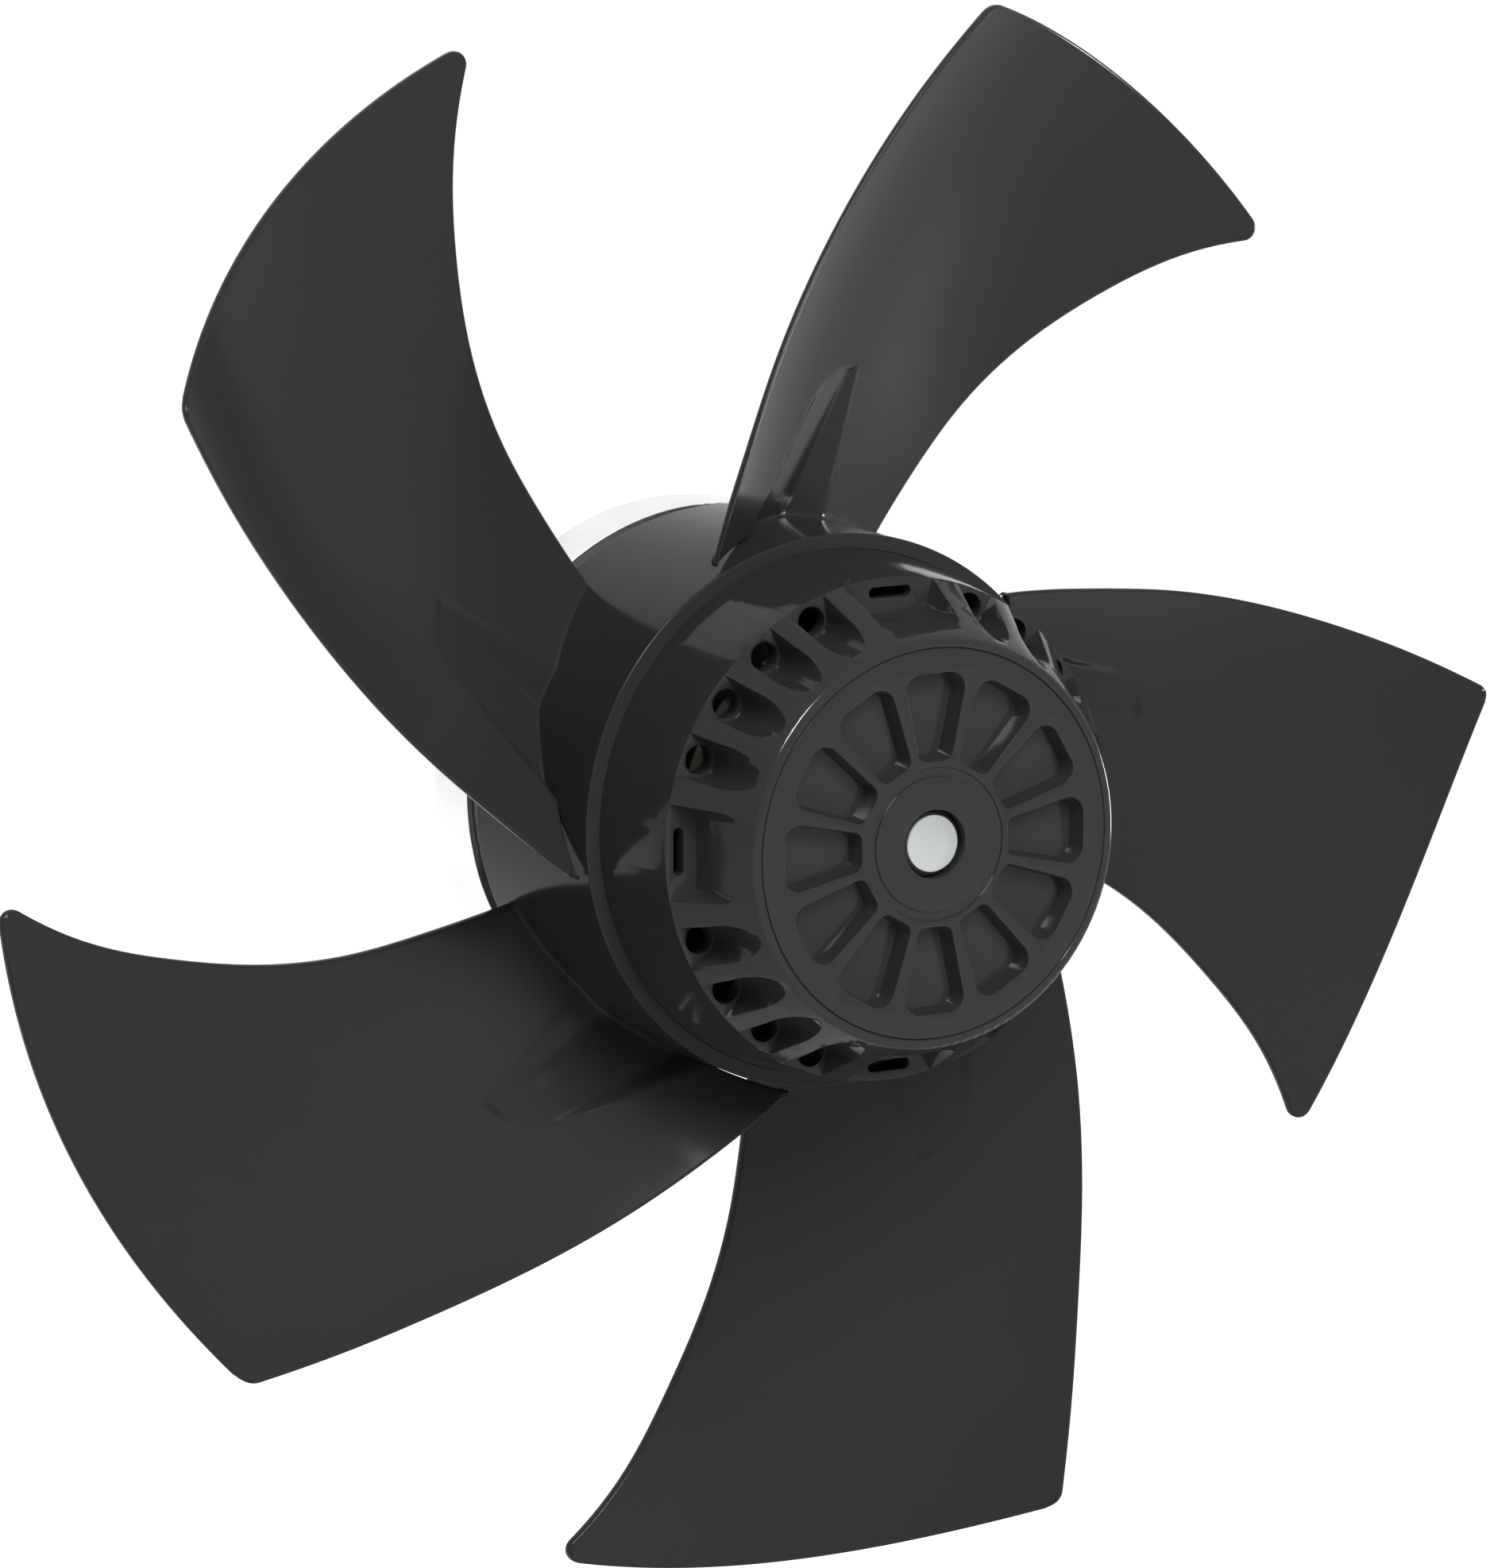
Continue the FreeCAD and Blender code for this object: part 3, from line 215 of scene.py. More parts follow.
def blade_root(front):
    """The root's line, and the place on the front edge where it starts."""
    past_end = 4
    slit_angles = np.linspace(SLIT_END - past_end, SLIT_START, 40)
    widen = (SLIT_START - slit_angles) / (SLIT_START - SLIT_END)
    slit = polar(HUB_RADIUS + SLIT_WIDTH * widen, slit_angles)
    near_hub = front[:60, None]
    meets = np.argmin(np.linalg.norm(near_hub - slit[None], axis=2).min(axis=1))
    first = np.argmin(np.linalg.norm(front[meets] - slit, axis=1))
    rear_angle = BLADE_SECTIONS[0][2]
    joined = np.linspace(SLIT_START + 1, rear_angle, 80)
    sink = np.clip((joined - SLIT_START) / SINK_RUN, 0, 1) * ROOT_SINK
    return np.vstack([front[meets], slit[first + 1:], polar(HUB_RADIUS - sink, joined)]), meets


def blade_sides():
    """The blade's plan outline as four lines: front edge, tip, rear edge and root."""
    run = np.linspace(1, len(BLADE_SECTIONS), 400)
    edges = [skin_points(share, run)[:, :2] for share in (0.0, 1.0)]
    front, front_corner, front_arc = tip_corner(edges[0], TIP_ROUNDS["front"], 1)
    rear, rear_corner, rear_arc = tip_corner(edges[1], TIP_ROUNDS["rear"], -1)
    tip_angles = [math.degrees(math.atan2(*arc[-1])) for arc in (front_arc, rear_arc)]
    tip = polar(TIP_REACH, np.linspace(*tip_angles, 200))
    tip = np.vstack([front_arc[:-1], tip, rear_arc[:-1][::-1]])
    root, meets = blade_root(front)
    rear = np.vstack([root[-1], rear[2:], rear_corner])
    front = np.vstack([front[meets:], front_corner])
    return front, tip, rear, root


def stepped(stops, counts):
    """Places from 0 to 1, evenly spaced between the stops."""
    runs = [np.linspace(a, b, n, endpoint=False) for a, b, n in zip(stops, stops[1:], counts)]
    return np.concatenate(runs + [[1.0]])


def blade_plan():
    """Plan places of the blade's points, in columns across it and rows out along it."""
    # Finer at the edges and over the pocket, whose creases need it
    across = stepped([0, 0.035, 0.14, 0.76, 0.97, 1], [8, 8, 49, 11, 8])
    outward = stepped([0, 0.34, 0.97, 1], [53, 24, 9])
    front, tip, rear, root = blade_sides()
    low, high = even_points(root, across), even_points(tip, across)
    left, right = even_points(front, outward), even_points(rear, outward)
    a, b = across[:, None, None], outward[None, :, None]
    plan = (1 - b) * low[:, None] + b * high[:, None] + (1 - a) * left[None] + a * right[None]
    plan -= (1 - a) * ((1 - b) * low[0] + b * high[0])
    plan -= a * ((1 - b) * low[-1] + b * high[-1])
    return plan


def round_the_rim(columns, rows):
    """Column and row of the plan's outermost places, in order round the blade."""
    rim = [(i, 0) for i in range(columns)]
    rim += [(columns - 1, j) for j in range(1, rows)]
    rim += [(i, rows - 1) for i in range(columns - 2, -1, -1)]
    return rim + [(0, j) for j in range(rows - 2, 0, -1)]


def inward_from(outline):
    """The direction to the inside of a closed plan outline, square to it, at each place."""
    run = np.roll(outline, -1, axis=0) - np.roll(outline, 1, axis=0)
    run /= np.linalg.norm(run, axis=1)[:, None]
    inward = np.stack([-run[:, 1], run[:, 0]], axis=-1)
    to_centre = outline.mean(axis=0) - outline
    return inward if np.mean(np.sum(inward * to_centre, axis=1)) >= 0 else -inward


def drawn_in(plan, rim, inward):
    """The plan with its rim moved in by the rounded edge, and less and less on the next rows."""
    columns, rows = plan.shape[:2]
    inset = np.zeros_like(plan)
    for (i, j), direction in zip(rim, inward):
        inset[i, j] = direction * BLADE_EDGE
    fade = 4
    for i in range(columns):
        for j in range(rows):
            near = min(i, j, columns - 1 - i, rows - 1 - j)
            if 0 < near < fade:
                rim_i = {near: 0, columns - 1 - near: columns - 1}.get(i, i)
                rim_j = {near: 0, rows - 1 - near: rows - 1}.get(j, j)
                inset[i, j] = inset[rim_i, rim_j] * (1 - near / fade)
    return plan + inset


def blade_mesh_parts():
    """Points and faces of one closed blade: front skin, back skin and a rounded edge."""
    plan = blade_plan()
    columns, rows = plan.shape[:2]
    rim = round_the_rim(columns, rows)
    outline = np.array([plan[i, j] for i, j in rim])
    inward = inward_from(outline)
    inner = drawn_in(plan, rim, inward)
    heights = blade_heights(inner[..., 0], inner[..., 1])
    points = [np.dstack([inner, height]).reshape(-1, 3) for height in heights]
    sheet = columns * rows
    faces = []
    for i in range(columns - 1):
        for j in range(rows - 1):
            k = i * rows + j
            quad = [k, k + 1, k + 1 + rows, k + rows]
            faces += [quad, [sheet + n for n in quad[::-1]]]
    # Rings round the edge: how far inside the outline, the rise from a skin, and which skin
    turns = [math.radians(angle) for angle in (30, 60, 90)]
    quarter = [(BLADE_EDGE * (1 - math.sin(t)), BLADE_EDGE * (1 - math.cos(t))) for t in turns]
    edge_rounding = [(inside, -drop, 0) for inside, drop in quarter]
    edge_rounding += [(inside, drop, 1) for inside, drop in quarter[::-1]]
    rings = [[i * rows + j for i, j in rim]]
    made = 2 * sheet
    for inside, rise, skin in edge_rounding:
        place = outline + inward * inside
        height = blade_heights(place[:, 0], place[:, 1])[skin] + rise
        points.append(np.column_stack([place, height]))
        rings.append(list(range(made, made + len(rim))))
        made += len(rim)
    rings.append([sheet + i * rows + j for i, j in rim])
    for ring, following in zip(rings, rings[1:]):
        for k in range(len(rim)):
            n = (k + 1) % len(rim)
            faces.append([ring[k], ring[n], following[n], following[k]])
    return np.vstack(points), faces


def lay_over(points):
    """From millimetres on an upright axis to metres in the part's frame, front to -Y."""
    return [(x * MM, -z * MM, y * MM) for x, y, z in points]


def closed_mesh(name, points, faces):
    """A smooth-shaded mesh with its doubled points merged and its faces looking out."""
    mesh = bpy.data.meshes.new(name)
    mesh.from_pydata(lay_over(points), [], faces)
    shape = bmesh.new()
    shape.from_mesh(mesh)
    bmesh.ops.remove_doubles(shape, verts=shape.verts, dist=1e-7)
    bmesh.ops.recalc_face_normals(shape, faces=shape.faces)
    shape.to_mesh(mesh)
    shape.free()
    mesh.shade_smooth()
    return mesh


def turned_ring(profile, steps):
    """Points and faces of a closed profile of (radius, height) turned about the axis."""
    points, faces = [], []
    for i in range(steps):
        turn = 2 * math.pi * i / steps
        points += [(r * math.sin(turn), r * math.cos(turn), h) for r, h in profile]
    count = len(profile)
    for i in range(steps):
        for j in range(count):
            a, b = i * count + j, i * count + (j + 1) % count
            c, d = (i + 1) % steps * count + (j + 1) % count, (i + 1) % steps * count + j
            faces.append([a, b, c, d])
    return points, faces


def rounded_profile(corners, steps=3, flat=0.2):
    """A closed profile's corners (radius, height, rounding), rounded off between short flats."""
    made = []
    for i, (*here, round_off) in enumerate(corners):
        here = Vector(here)
        before = (Vector(corners[i - 1][:2]) - here).normalized()
        after = (Vector(corners[(i + 1) % len(corners)][:2]) - here).normalized()
        start, end = here + before * round_off, here + after * round_off
        made.append(tuple(start + before * flat))
        for k in range(steps + 1):
            t = k / steps
            made.append(tuple((1 - t) ** 2 * start + 2 * t * (1 - t) * here + t * t * end))
        made.append(tuple(end + after * flat))
    return made


def surface(name, tree, metallic=0.0, level=0.5, **values):
    """A material whose colour, gloss and fine relief come from one node group."""
    material = bpy.data.materials.new(name)
    material.use_nodes = True
    nodes, links = material.node_tree.nodes, material.node_tree.links
    shader = nodes["Principled BSDF"]
    place = nodes.new("ShaderNodeTexCoord")
    skin = nodes.new("ShaderNodeGroup")
    skin.node_tree = tree
    for socket, value in values.items():
        skin.inputs[socket].default_value = (*value, 1) if socket == "Colour" else value
    links.new(place.outputs["Object"], skin.inputs["Place"])
    links.new(skin.outputs["Colour"], shader.inputs["Base Color"])
    links.new(skin.outputs["Roughness"], shader.inputs["Roughness"])
    links.new(skin.outputs["Normal"], shader.inputs["Normal"])
    shader.inputs["Metallic"].default_value = metallic
    shader.inputs["Specular IOR Level"].default_value = level
    return material


def new_skin(name, *numbers):
    """An empty shader group with the sockets that surface() links, and its two end nodes."""
    group = bpy.data.node_groups.new(name, "ShaderNodeTree")
    kinds = {"Place": "NodeSocketVector", "Colour": "NodeSocketColor",
             "Normal": "NodeSocketVector"}
    sockets = [(socket, "INPUT") for socket in ("Place", "Colour", "Roughness", *numbers)]
    sockets += [(socket, "OUTPUT") for socket in ("Colour", "Roughness", "Normal")]
    for socket, side in sockets:
        kind = kinds.get(socket, "NodeSocketFloat")
        group.interface.new_socket(socket, in_out=side, socket_type=kind)
    return group, group.nodes.new("NodeGroupInput"), group.nodes.new("NodeGroupOutput")


def feed(tree, socket, value):
    """Lead a value into a socket: a number, or what another socket gives."""
    if isinstance(value, bpy.types.NodeSocket):
        tree.links.new(value, socket)
    else:
        socket.default_value = value


def maths(tree, operation, *values):
    """The result of a sum on values, each a socket or a number."""
    node = tree.nodes.new("ShaderNodeMath")
    node.operation = operation
    for socket, value in zip(node.inputs, values):
        feed(tree, socket, value)
    return node.outputs["Value"]


def tinted(group, given, result, share, low, high):
    """Lead colour and gloss out of a group, both scaled between low and high by a share."""
    tone = group.nodes.new("ShaderNodeMapRange")
    tone.inputs["To Min"].default_value = low
    tone.inputs["To Max"].default_value = high
    group.links.new(share, tone.inputs["Value"])
    paint = group.nodes.new("ShaderNodeMix")
    paint.data_type = "RGBA"
    paint.blend_type = "MULTIPLY"
    paint.inputs["Factor"].default_value = 1
    group.links.new(given.outputs["Colour"], paint.inputs["A"])
    group.links.new(tone.outputs["Result"], paint.inputs["B"])
    group.links.new(paint.outputs["Result"], result.inputs["Colour"])
    gloss = maths(group, "MULTIPLY", given.outputs["Roughness"], tone.outputs["Result"])
    group.links.new(gloss, result.inputs["Roughness"])


def relief(group, result, height, strength, distance):
    """Lead the fine relief of a group out as a normal."""
    bump = group.nodes.new("ShaderNodeBump")
    bump.inputs["Distance"].default_value = distance
    group.links.new(strength, bump.inputs["Strength"])
    group.links.new(height, bump.inputs["Height"])
    group.links.new(bump.outputs["Normal"], result.inputs["Normal"])


def noise(group, place, scale, detail):
    """A cloudy value between 0 and 1."""
    node = group.nodes.new("ShaderNodeTexNoise")
    node.inputs["Detail"].default_value = detail
    group.links.new(place, node.inputs["Vector"])
    feed(group, node.inputs["Scale"], scale)
    return node.outputs["Fac"]


def moulded_grain():
    """Group: a fine moulded grain, with slow patches of slightly other gloss and tone."""
    group, given, result = new_skin("moulded_grain", "Scale", "Depth")
    fine = noise(group, given.outputs["Place"], given.outputs["Scale"], 3)
    relief(group, result, fine, given.outputs["Depth"], 0.0002)
    tinted(group, given, result, noise(group, given.outputs["Place"], 14, 4), 0.93, 1.07)
    return group


def ring_tree():
    """Geometry nodes: copies of a shape set evenly round the Y axis, joined to a ring."""
    tree = bpy.data.node_groups.new("copies_round_axis", "GeometryNodeTree")
    socket = tree.interface.new_socket
    socket("Shape", in_out="INPUT", socket_type="NodeSocketGeometry")
    count = socket("Copies", in_out="INPUT", socket_type="NodeSocketInt")
    paint = socket("Material", in_out="INPUT", socket_type="NodeSocketMaterial")
    socket("Shape", in_out="OUTPUT", socket_type="NodeSocketGeometry")
    nodes, links = tree.nodes, tree.links
    given = nodes.new("NodeGroupInput")
    result = nodes.new("NodeGroupOutput")
    line = nodes.new("GeometryNodeMeshLine")
    line.inputs["Offset"].default_value = (0, 0, 0)
    links.new(given.outputs["Copies"], line.inputs["Count"])
    index = nodes.new("GeometryNodeInputIndex")
    share = maths(tree, "DIVIDE", index.outputs["Index"], given.outputs["Copies"])
    angles = nodes.new("ShaderNodeCombineXYZ")
    links.new(maths(tree, "MULTIPLY", share, 2 * math.pi), angles.inputs["Y"])
    copies = nodes.new("GeometryNodeInstanceOnPoints")
    links.new(line.outputs["Mesh"], copies.inputs["Points"])
    links.new(given.outputs["Shape"], copies.inputs["Instance"])
    links.new(angles.outputs["Vector"], copies.inputs["Rotation"])
    real = nodes.new("GeometryNodeRealizeInstances")
    links.new(copies.outputs["Instances"], real.inputs["Geometry"])
    coat = nodes.new("GeometryNodeSetMaterial")
    links.new(real.outputs["Geometry"], coat.inputs["Geometry"])
    links.new(given.outputs["Material"], coat.inputs["Material"])
    links.new(coat.outputs["Geometry"], result.inputs["Shape"])
    return tree, count.identifier, paint.identifier


def held(mesh):
    """A passing object that holds a mesh for a modifier to work on."""
    holder = bpy.data.objects.new("holder", mesh)
    bpy.context.scene.collection.objects.link(holder)
    return holder


def let_go(holder):
    """A plain mesh of what the holder's modifier makes. The holder itself goes."""
    shown = holder.evaluated_get(bpy.context.evaluated_depsgraph_get())
    made = bpy.data.meshes.new_from_object(shown)
    bpy.data.objects.remove(holder)
    return made


def copies_round_axis(mesh, count, material):
    """A plain mesh of the copies that the tree makes."""
    tree, count_input, material_input = ring_tree()
    holder = held(mesh)
    modifier = holder.modifiers.new("copies", "NODES")
    modifier.node_group = tree
    modifier[count_input] = count
    modifier[material_input] = material
    return let_go(holder)


def paint_all(mesh, material):
    """Make a material the only one on a mesh."""
    mesh.materials.clear()
    mesh.materials.append(material)


def add_piece(name, mesh, material, body, nodes):
    """Add a visible piece in place of the named solids."""
    paint_all(mesh, material)
    piece = bpy.data.objects.new(name, mesh)
    bpy.context.scene.collection.objects.link(piece)
    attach(piece, body)
    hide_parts(*nodes)


grain = moulded_grain()
fan_plastic = surface("fan_plastic", grain, level=0.07, Colour=BLACK, Roughness=0.15,
                      Scale=1500, Depth=0.005)
blade = closed_mesh("blade", *blade_mesh_parts())
impeller_mesh = copies_round_axis(blade, BLADE_COUNT, fan_plastic)
hub_corners = [(HUB_BORE, HUB_BASE, 0.3), (HUB_RADIUS, HUB_BASE, 0.6)]
hub_corners += [(HUB_RADIUS, HUB_FACE, 0.5), (HUB_BORE, HUB_FACE, 0.1)]
hub = closed_mesh("hub", *turned_ring(rounded_profile(hub_corners), HUB_STEPS))
join = bmesh.new()
join.from_mesh(impeller_mesh)
join.from_mesh(hub)
join.to_mesh(impeller_mesh)
join.free()
add_piece("impeller_moulding", impeller_mesh, fan_plastic, "rotor", ["impeller"])


# Rotor casting
# The motor's outer rotor, die-cast and coated black: a bell with a ring of drafted scoops over
# its cooling holes, four balancing pockets and a recessed front disc. The impeller grips it.
CAP_FACE = -1000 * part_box("rotor_housing")[0].y
RIM_LEVEL = 136.4
RIM_RADIUS = 76.5
RECESS_INNER, RECESS_OUTER = 24.0, 52.5
COUNTERBORE_RADIUS = 10.5
# The disc's middle, which is turned level: its lowest height, its edge and a radius inside it
MIDDLE_LEVEL, MIDDLE_RADIUS, MIDDLE_INSIDE = 161.5, 23.2, 15.0
# The ring groove's corners: radius and depth
RING_GROOVE = [(23.3, 0.0), (23.2, 0.6), (20.4, 0.6), (20.3, 0.0)]
# Widths of rounded edges, in millimetres: anywhere, on the recesses, on the rim and in the groove
EDGE, RECESS_EDGE, RIM_EDGE, GROOVE_EDGE = 0.3, 0.8, 0.5, 0.15
# Angles between faces from which an edge is rounded: anywhere, and on the rim
SHARP_ANGLE, RIM_ANGLE = math.radians(28), math.radians(8)


def ring_place(point):
    """Radius and height, in millimetres, of a point of the part's frame."""
    return math.hypot(point.x, point.z) / MM, -point.y / MM


def merged_copy(node):
    """A bmesh of a node's shape with its points merged and its flat areas joined."""
    shape = bmesh.new()
    shape.from_mesh(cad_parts[node].data)
    bmesh.ops.remove_doubles(shape, verts=shape.verts, dist=2e-6)
    flat = math.radians(0.3)
    bmesh.ops.dissolve_limit(shape, angle_limit=flat, verts=shape.verts, edges=shape.edges)
    return shape


def round_edges(shape, name, edge, own_width=None):
    """A mesh of the shape with its sharp edges rounded; own_width gives some their own width."""
    weight = shape.edges.layers.float.new("bevel_weight_edge")
    widest = max(edge, RECESS_EDGE)
    for line in shape.edges:
        width = own_width(line) if own_width else None
        if width is None and line.is_manifold and line.calc_face_angle(0) > SHARP_ANGLE:
            width = edge
        line[weight] = (width or 0) / widest
    mesh = bpy.data.meshes.new(name)
    shape.to_mesh(mesh)
    shape.free()
    mesh.shade_smooth()
    holder = held(mesh)
    bevel = holder.modifiers.new("edges", "BEVEL")
    bevel.width = widest * MM
    bevel.segments = 3
    bevel.limit_method = "WEIGHT"
    bevel.harden_normals = True
    return let_go(holder)


def finished_copy(name, node, body, material, edge):
    """Add a piece that is one solid with its sharp edges rounded."""
    add_piece(name, round_edges(merged_copy(node), name, edge), material, body, [node])


def pull_ring(lines, radius, depth=None):
    """Move a ring of edges to a radius and, where one is given, a depth under the cap's face."""
    for v in {v for line in lines for v in line.verts}:
        stretch = radius / ring_place(v.co)[0]
        y = v.co.y if depth is None else -(CAP_FACE - depth) * MM
        v.co = (v.co.x * stretch, y, v.co.z * stretch)


def cut_ring_groove(shape):
    """Level the disc's middle and turn the shallow ring groove round it."""
    middle = []
    for face in shape.faces:
        radii = [ring_place(v.co)[0] for v in face.verts]
        in_middle = COUNTERBORE_RADIUS - 0.3 < min(radii) and max(radii) < MIDDLE_RADIUS
        height = ring_place(face.calc_center_median())[1]
        if in_middle and height > MIDDLE_LEVEL and face.normal.y < -0.5:
            middle.append(face)
    bmesh.ops.delete(shape, geom=middle, context="FACES")
    open_edges = [line for line in shape.edges if line.is_boundary]
    outer = [line for line in open_edges if ring_place(line.verts[0].co)[0] > MIDDLE_INSIDE]
    inner = [line for line in open_edges if ring_place(line.verts[0].co)[0] <= MIDDLE_INSIDE]
    for line in inner:
        for v in line.verts:
            v.co.y = -CAP_FACE * MM
    pull_ring(outer, RING_GROOVE[0][0])
    for radius, depth in RING_GROOVE[1:]:
        made = bmesh.ops.extrude_edge_only(shape, edges=outer)["geom"]
        lines = [item for item in made if isinstance(item, bmesh.types.BMEdge)]
        outer = [line for line in lines if line.is_boundary]
        pull_ring(outer, radius, depth)
    bmesh.ops.bridge_loops(shape, edges=outer + inner)
    bmesh.ops.recalc_face_normals(shape, faces=shape.faces)


def casting_edge(line):
    """Width of the rounding on the rotor casting's own edges."""
    radii, heights = zip(*(ring_place(v.co) for v in line.verts))
    radius = sum(radii) / 2
    angle = line.calc_face_angle(0) if line.is_manifold else 0
    level_with_rim = all(abs(height - RIM_LEVEL) < 0.1 for height in heights)
    if level_with_rim and min(radii) > RIM_RADIUS - 0.1:
        return RIM_EDGE if angle > RIM_ANGLE else None
    if min(heights) > CAP_FACE - 0.05 and angle > SHARP_ANGLE:
        if RECESS_INNER < radius < RECESS_OUTER:
            return RECESS_EDGE
        if radius > COUNTERBORE_RADIUS + 1:
            return GROOVE_EDGE
    return None


black_casting = surface("black_casting", grain, level=0.15, Colour=BLACK, Roughness=0.12,
                        Scale=1200, Depth=0.004)
bell = merged_copy("rotor_housing")
cut_ring_groove(bell)
bell_mesh = round_edges(bell, "rotor_bell", EDGE, casting_edge)
add_piece("rotor_bell", bell_mesh, black_casting, "rotor", ["rotor_housing"])


# Rotor core
# A ring of punched steel sheets with the cage bars cast through it, pressed into the bell. It
# turns round the stator with a gap of half a millimetre.
SHEET_THICKNESS = 0.5 * MM


def own_axes(group, given):
    """The coordinates of a group's place, one by one."""
    split = group.nodes.new("ShaderNodeSeparateXYZ")
    group.links.new(given.outputs["Place"], split.inputs["Vector"])
    return split.outputs


def sheet_stack():
    """Group: half-millimetre sheets stacked along the Y axis, with dark joints between them."""
    group, given, result = new_skin("sheet_stack", "Depth")
    level = maths(group, "DIVIDE", own_axes(group, given)["Y"], SHEET_THICKNESS)
    from_middle = maths(group, "SUBTRACT", maths(group, "FRACT", level), 0.5)
    joint = maths(group, "GREATER_THAN", maths(group, "ABSOLUTE", from_middle), 0.42)
    body = maths(group, "SUBTRACT", 1, joint)
    sheet = group.nodes.new("ShaderNodeTexWhiteNoise")
    sheet.noise_dimensions = "1D"
    group.links.new(maths(group, "FLOOR", level), sheet.inputs["W"])
    own = maths(group, "MULTIPLY", sheet.outputs["Value"], 0.2)
    patch = maths(group, "MULTIPLY", noise(group, given.outputs["Place"], 60, 3), 0.2)
    uneven = maths(group, "ADD", own, patch)
    share = maths(group, "ADD", maths(group, "MULTIPLY", body, 0.6), uneven)
    tinted(group, given, result, share, 0.45, 1.15)
    relief(group, result, body, given.outputs["Depth"], 0.0001)
    return group


def finish(nodes, material):
    """Give the solids of the named nodes their material."""
    for node in nodes:
        paint_all(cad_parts[node].data, material)


lamination_steel = surface("lamination_steel", sheet_stack(), metallic=1,
                           Colour=(0.30, 0.30, 0.31), Roughness=0.42, Depth=0.6)
finish(["rotor_core"], lamination_steel)


# Shaft
# Steel bar, turned and then ground where the bearings run, pressed into the bell's middle. Its
# front end is faced off and stands in the counterbore; a ring of spring steel holds the bearings.
def axis_distance(group, axes):
    """Distance of a place from the Y axis."""
    x, z = (maths(group, "POWER", axes[axis], 2) for axis in "XZ")
    return maths(group, "SQRT", maths(group, "ADD", x, z))


def turned_marks():
    """Group: fine tool marks that run round the Y axis, on faces and on cylinders alike."""
    group, given, result = new_skin("turned_marks", "Pitch", "Depth")
    axes = own_axes(group, given)
    along = maths(group, "MULTIPLY", axes["Y"], 0.8)
    run = maths(group, "ADD", axis_distance(group, axes), along)
    marks = group.nodes.new("ShaderNodeTexNoise")
    marks.noise_dimensions = "1D"
    marks.inputs["Scale"].default_value = 1
    marks.inputs["Detail"].default_value = 2
    group.links.new(maths(group, "DIVIDE", run, given.outputs["Pitch"]), marks.inputs["W"])
    patch = noise(group, given.outputs["Place"], 90, 3)
    both = maths(group, "MULTIPLY", maths(group, "ADD", marks.outputs["Fac"], patch), 0.5)
    tinted(group, given, result, both, 0.9, 1.1)
    relief(group, result, marks.outputs["Fac"], given.outputs["Depth"], 0.00005)
    return group


turned = turned_marks()
ground_steel = surface("ground_steel", turned, metallic=1, Colour=(0.43, 0.45, 0.455),
                       Roughness=0.3, Pitch=0.0002, Depth=0.15)
finished_copy("turned_shaft", "shaft", "rotor", ground_steel, 0.2)
spring_steel = surface("spring_steel", grain, metallic=1, Colour=(0.25, 0.25, 0.26),
                       Roughness=0.33, Scale=2500, Depth=0.1)
finish(["shaft_circlip"], spring_steel)


# Shaft seal
# A moulded rubber V-ring that is stretched on the shaft and turns with it. Its lip keeps water
# and dust off the front bearing.
seal_rubber = surface("seal_rubber", grain, level=0.3, Colour=(0.02, 0.02, 0.02),
                      Roughness=0.6, Scale=3000, Depth=0.2)
finish(["shaft_seal"], seal_rubber)


# Bearings
# Two deep-groove ball bearings of hardened steel, with moulded cages and pressed sheet shields.
# Their outer rings sit in the flange's tube and their inner rings turn with the shaft.
bearing_steel = surface("bearing_steel", turned, metallic=1, Colour=(0.66, 0.66, 0.66),
                        Roughness=0.16, Pitch=0.0004, Depth=0.06)
cage_plastic = surface("cage_plastic", grain, Colour=(0.10, 0.22, 0.12),
                       Roughness=0.4, Scale=2000, Depth=0.1)
for place in ("front", "rear"):
    steel_parts = [f"{place}_bearing_{part}" for part in ("outer_ring", "inner_ring", "balls")]
    finish(steel_parts, bearing_steel)
    finish([f"{place}_bearing_cage"], cage_plastic)
    finish([f"{place}_bearing_shields"], spring_steel)


# Bearing springs
# A waved ring of spring steel loads the bearings endways, and a retaining ring snapped into the
# tube's groove holds them in.
finish(["wave_spring", "tube_circlip"], spring_steel)


# Stator core
# Punched steel sheets stacked on the flange's tube. Moulded end pieces and slot wedges keep the
# wire off the steel.
insulator_plastic = surface("insulator_plastic", grain, Colour=(0.62, 0.60, 0.52),
                            Roughness=0.42, Scale=1800, Depth=0.1)
finish(["stator_core"], lamination_steel)
finish(["front_insulator", "rear_insulator", "slot_wedges"], insulator_plastic)


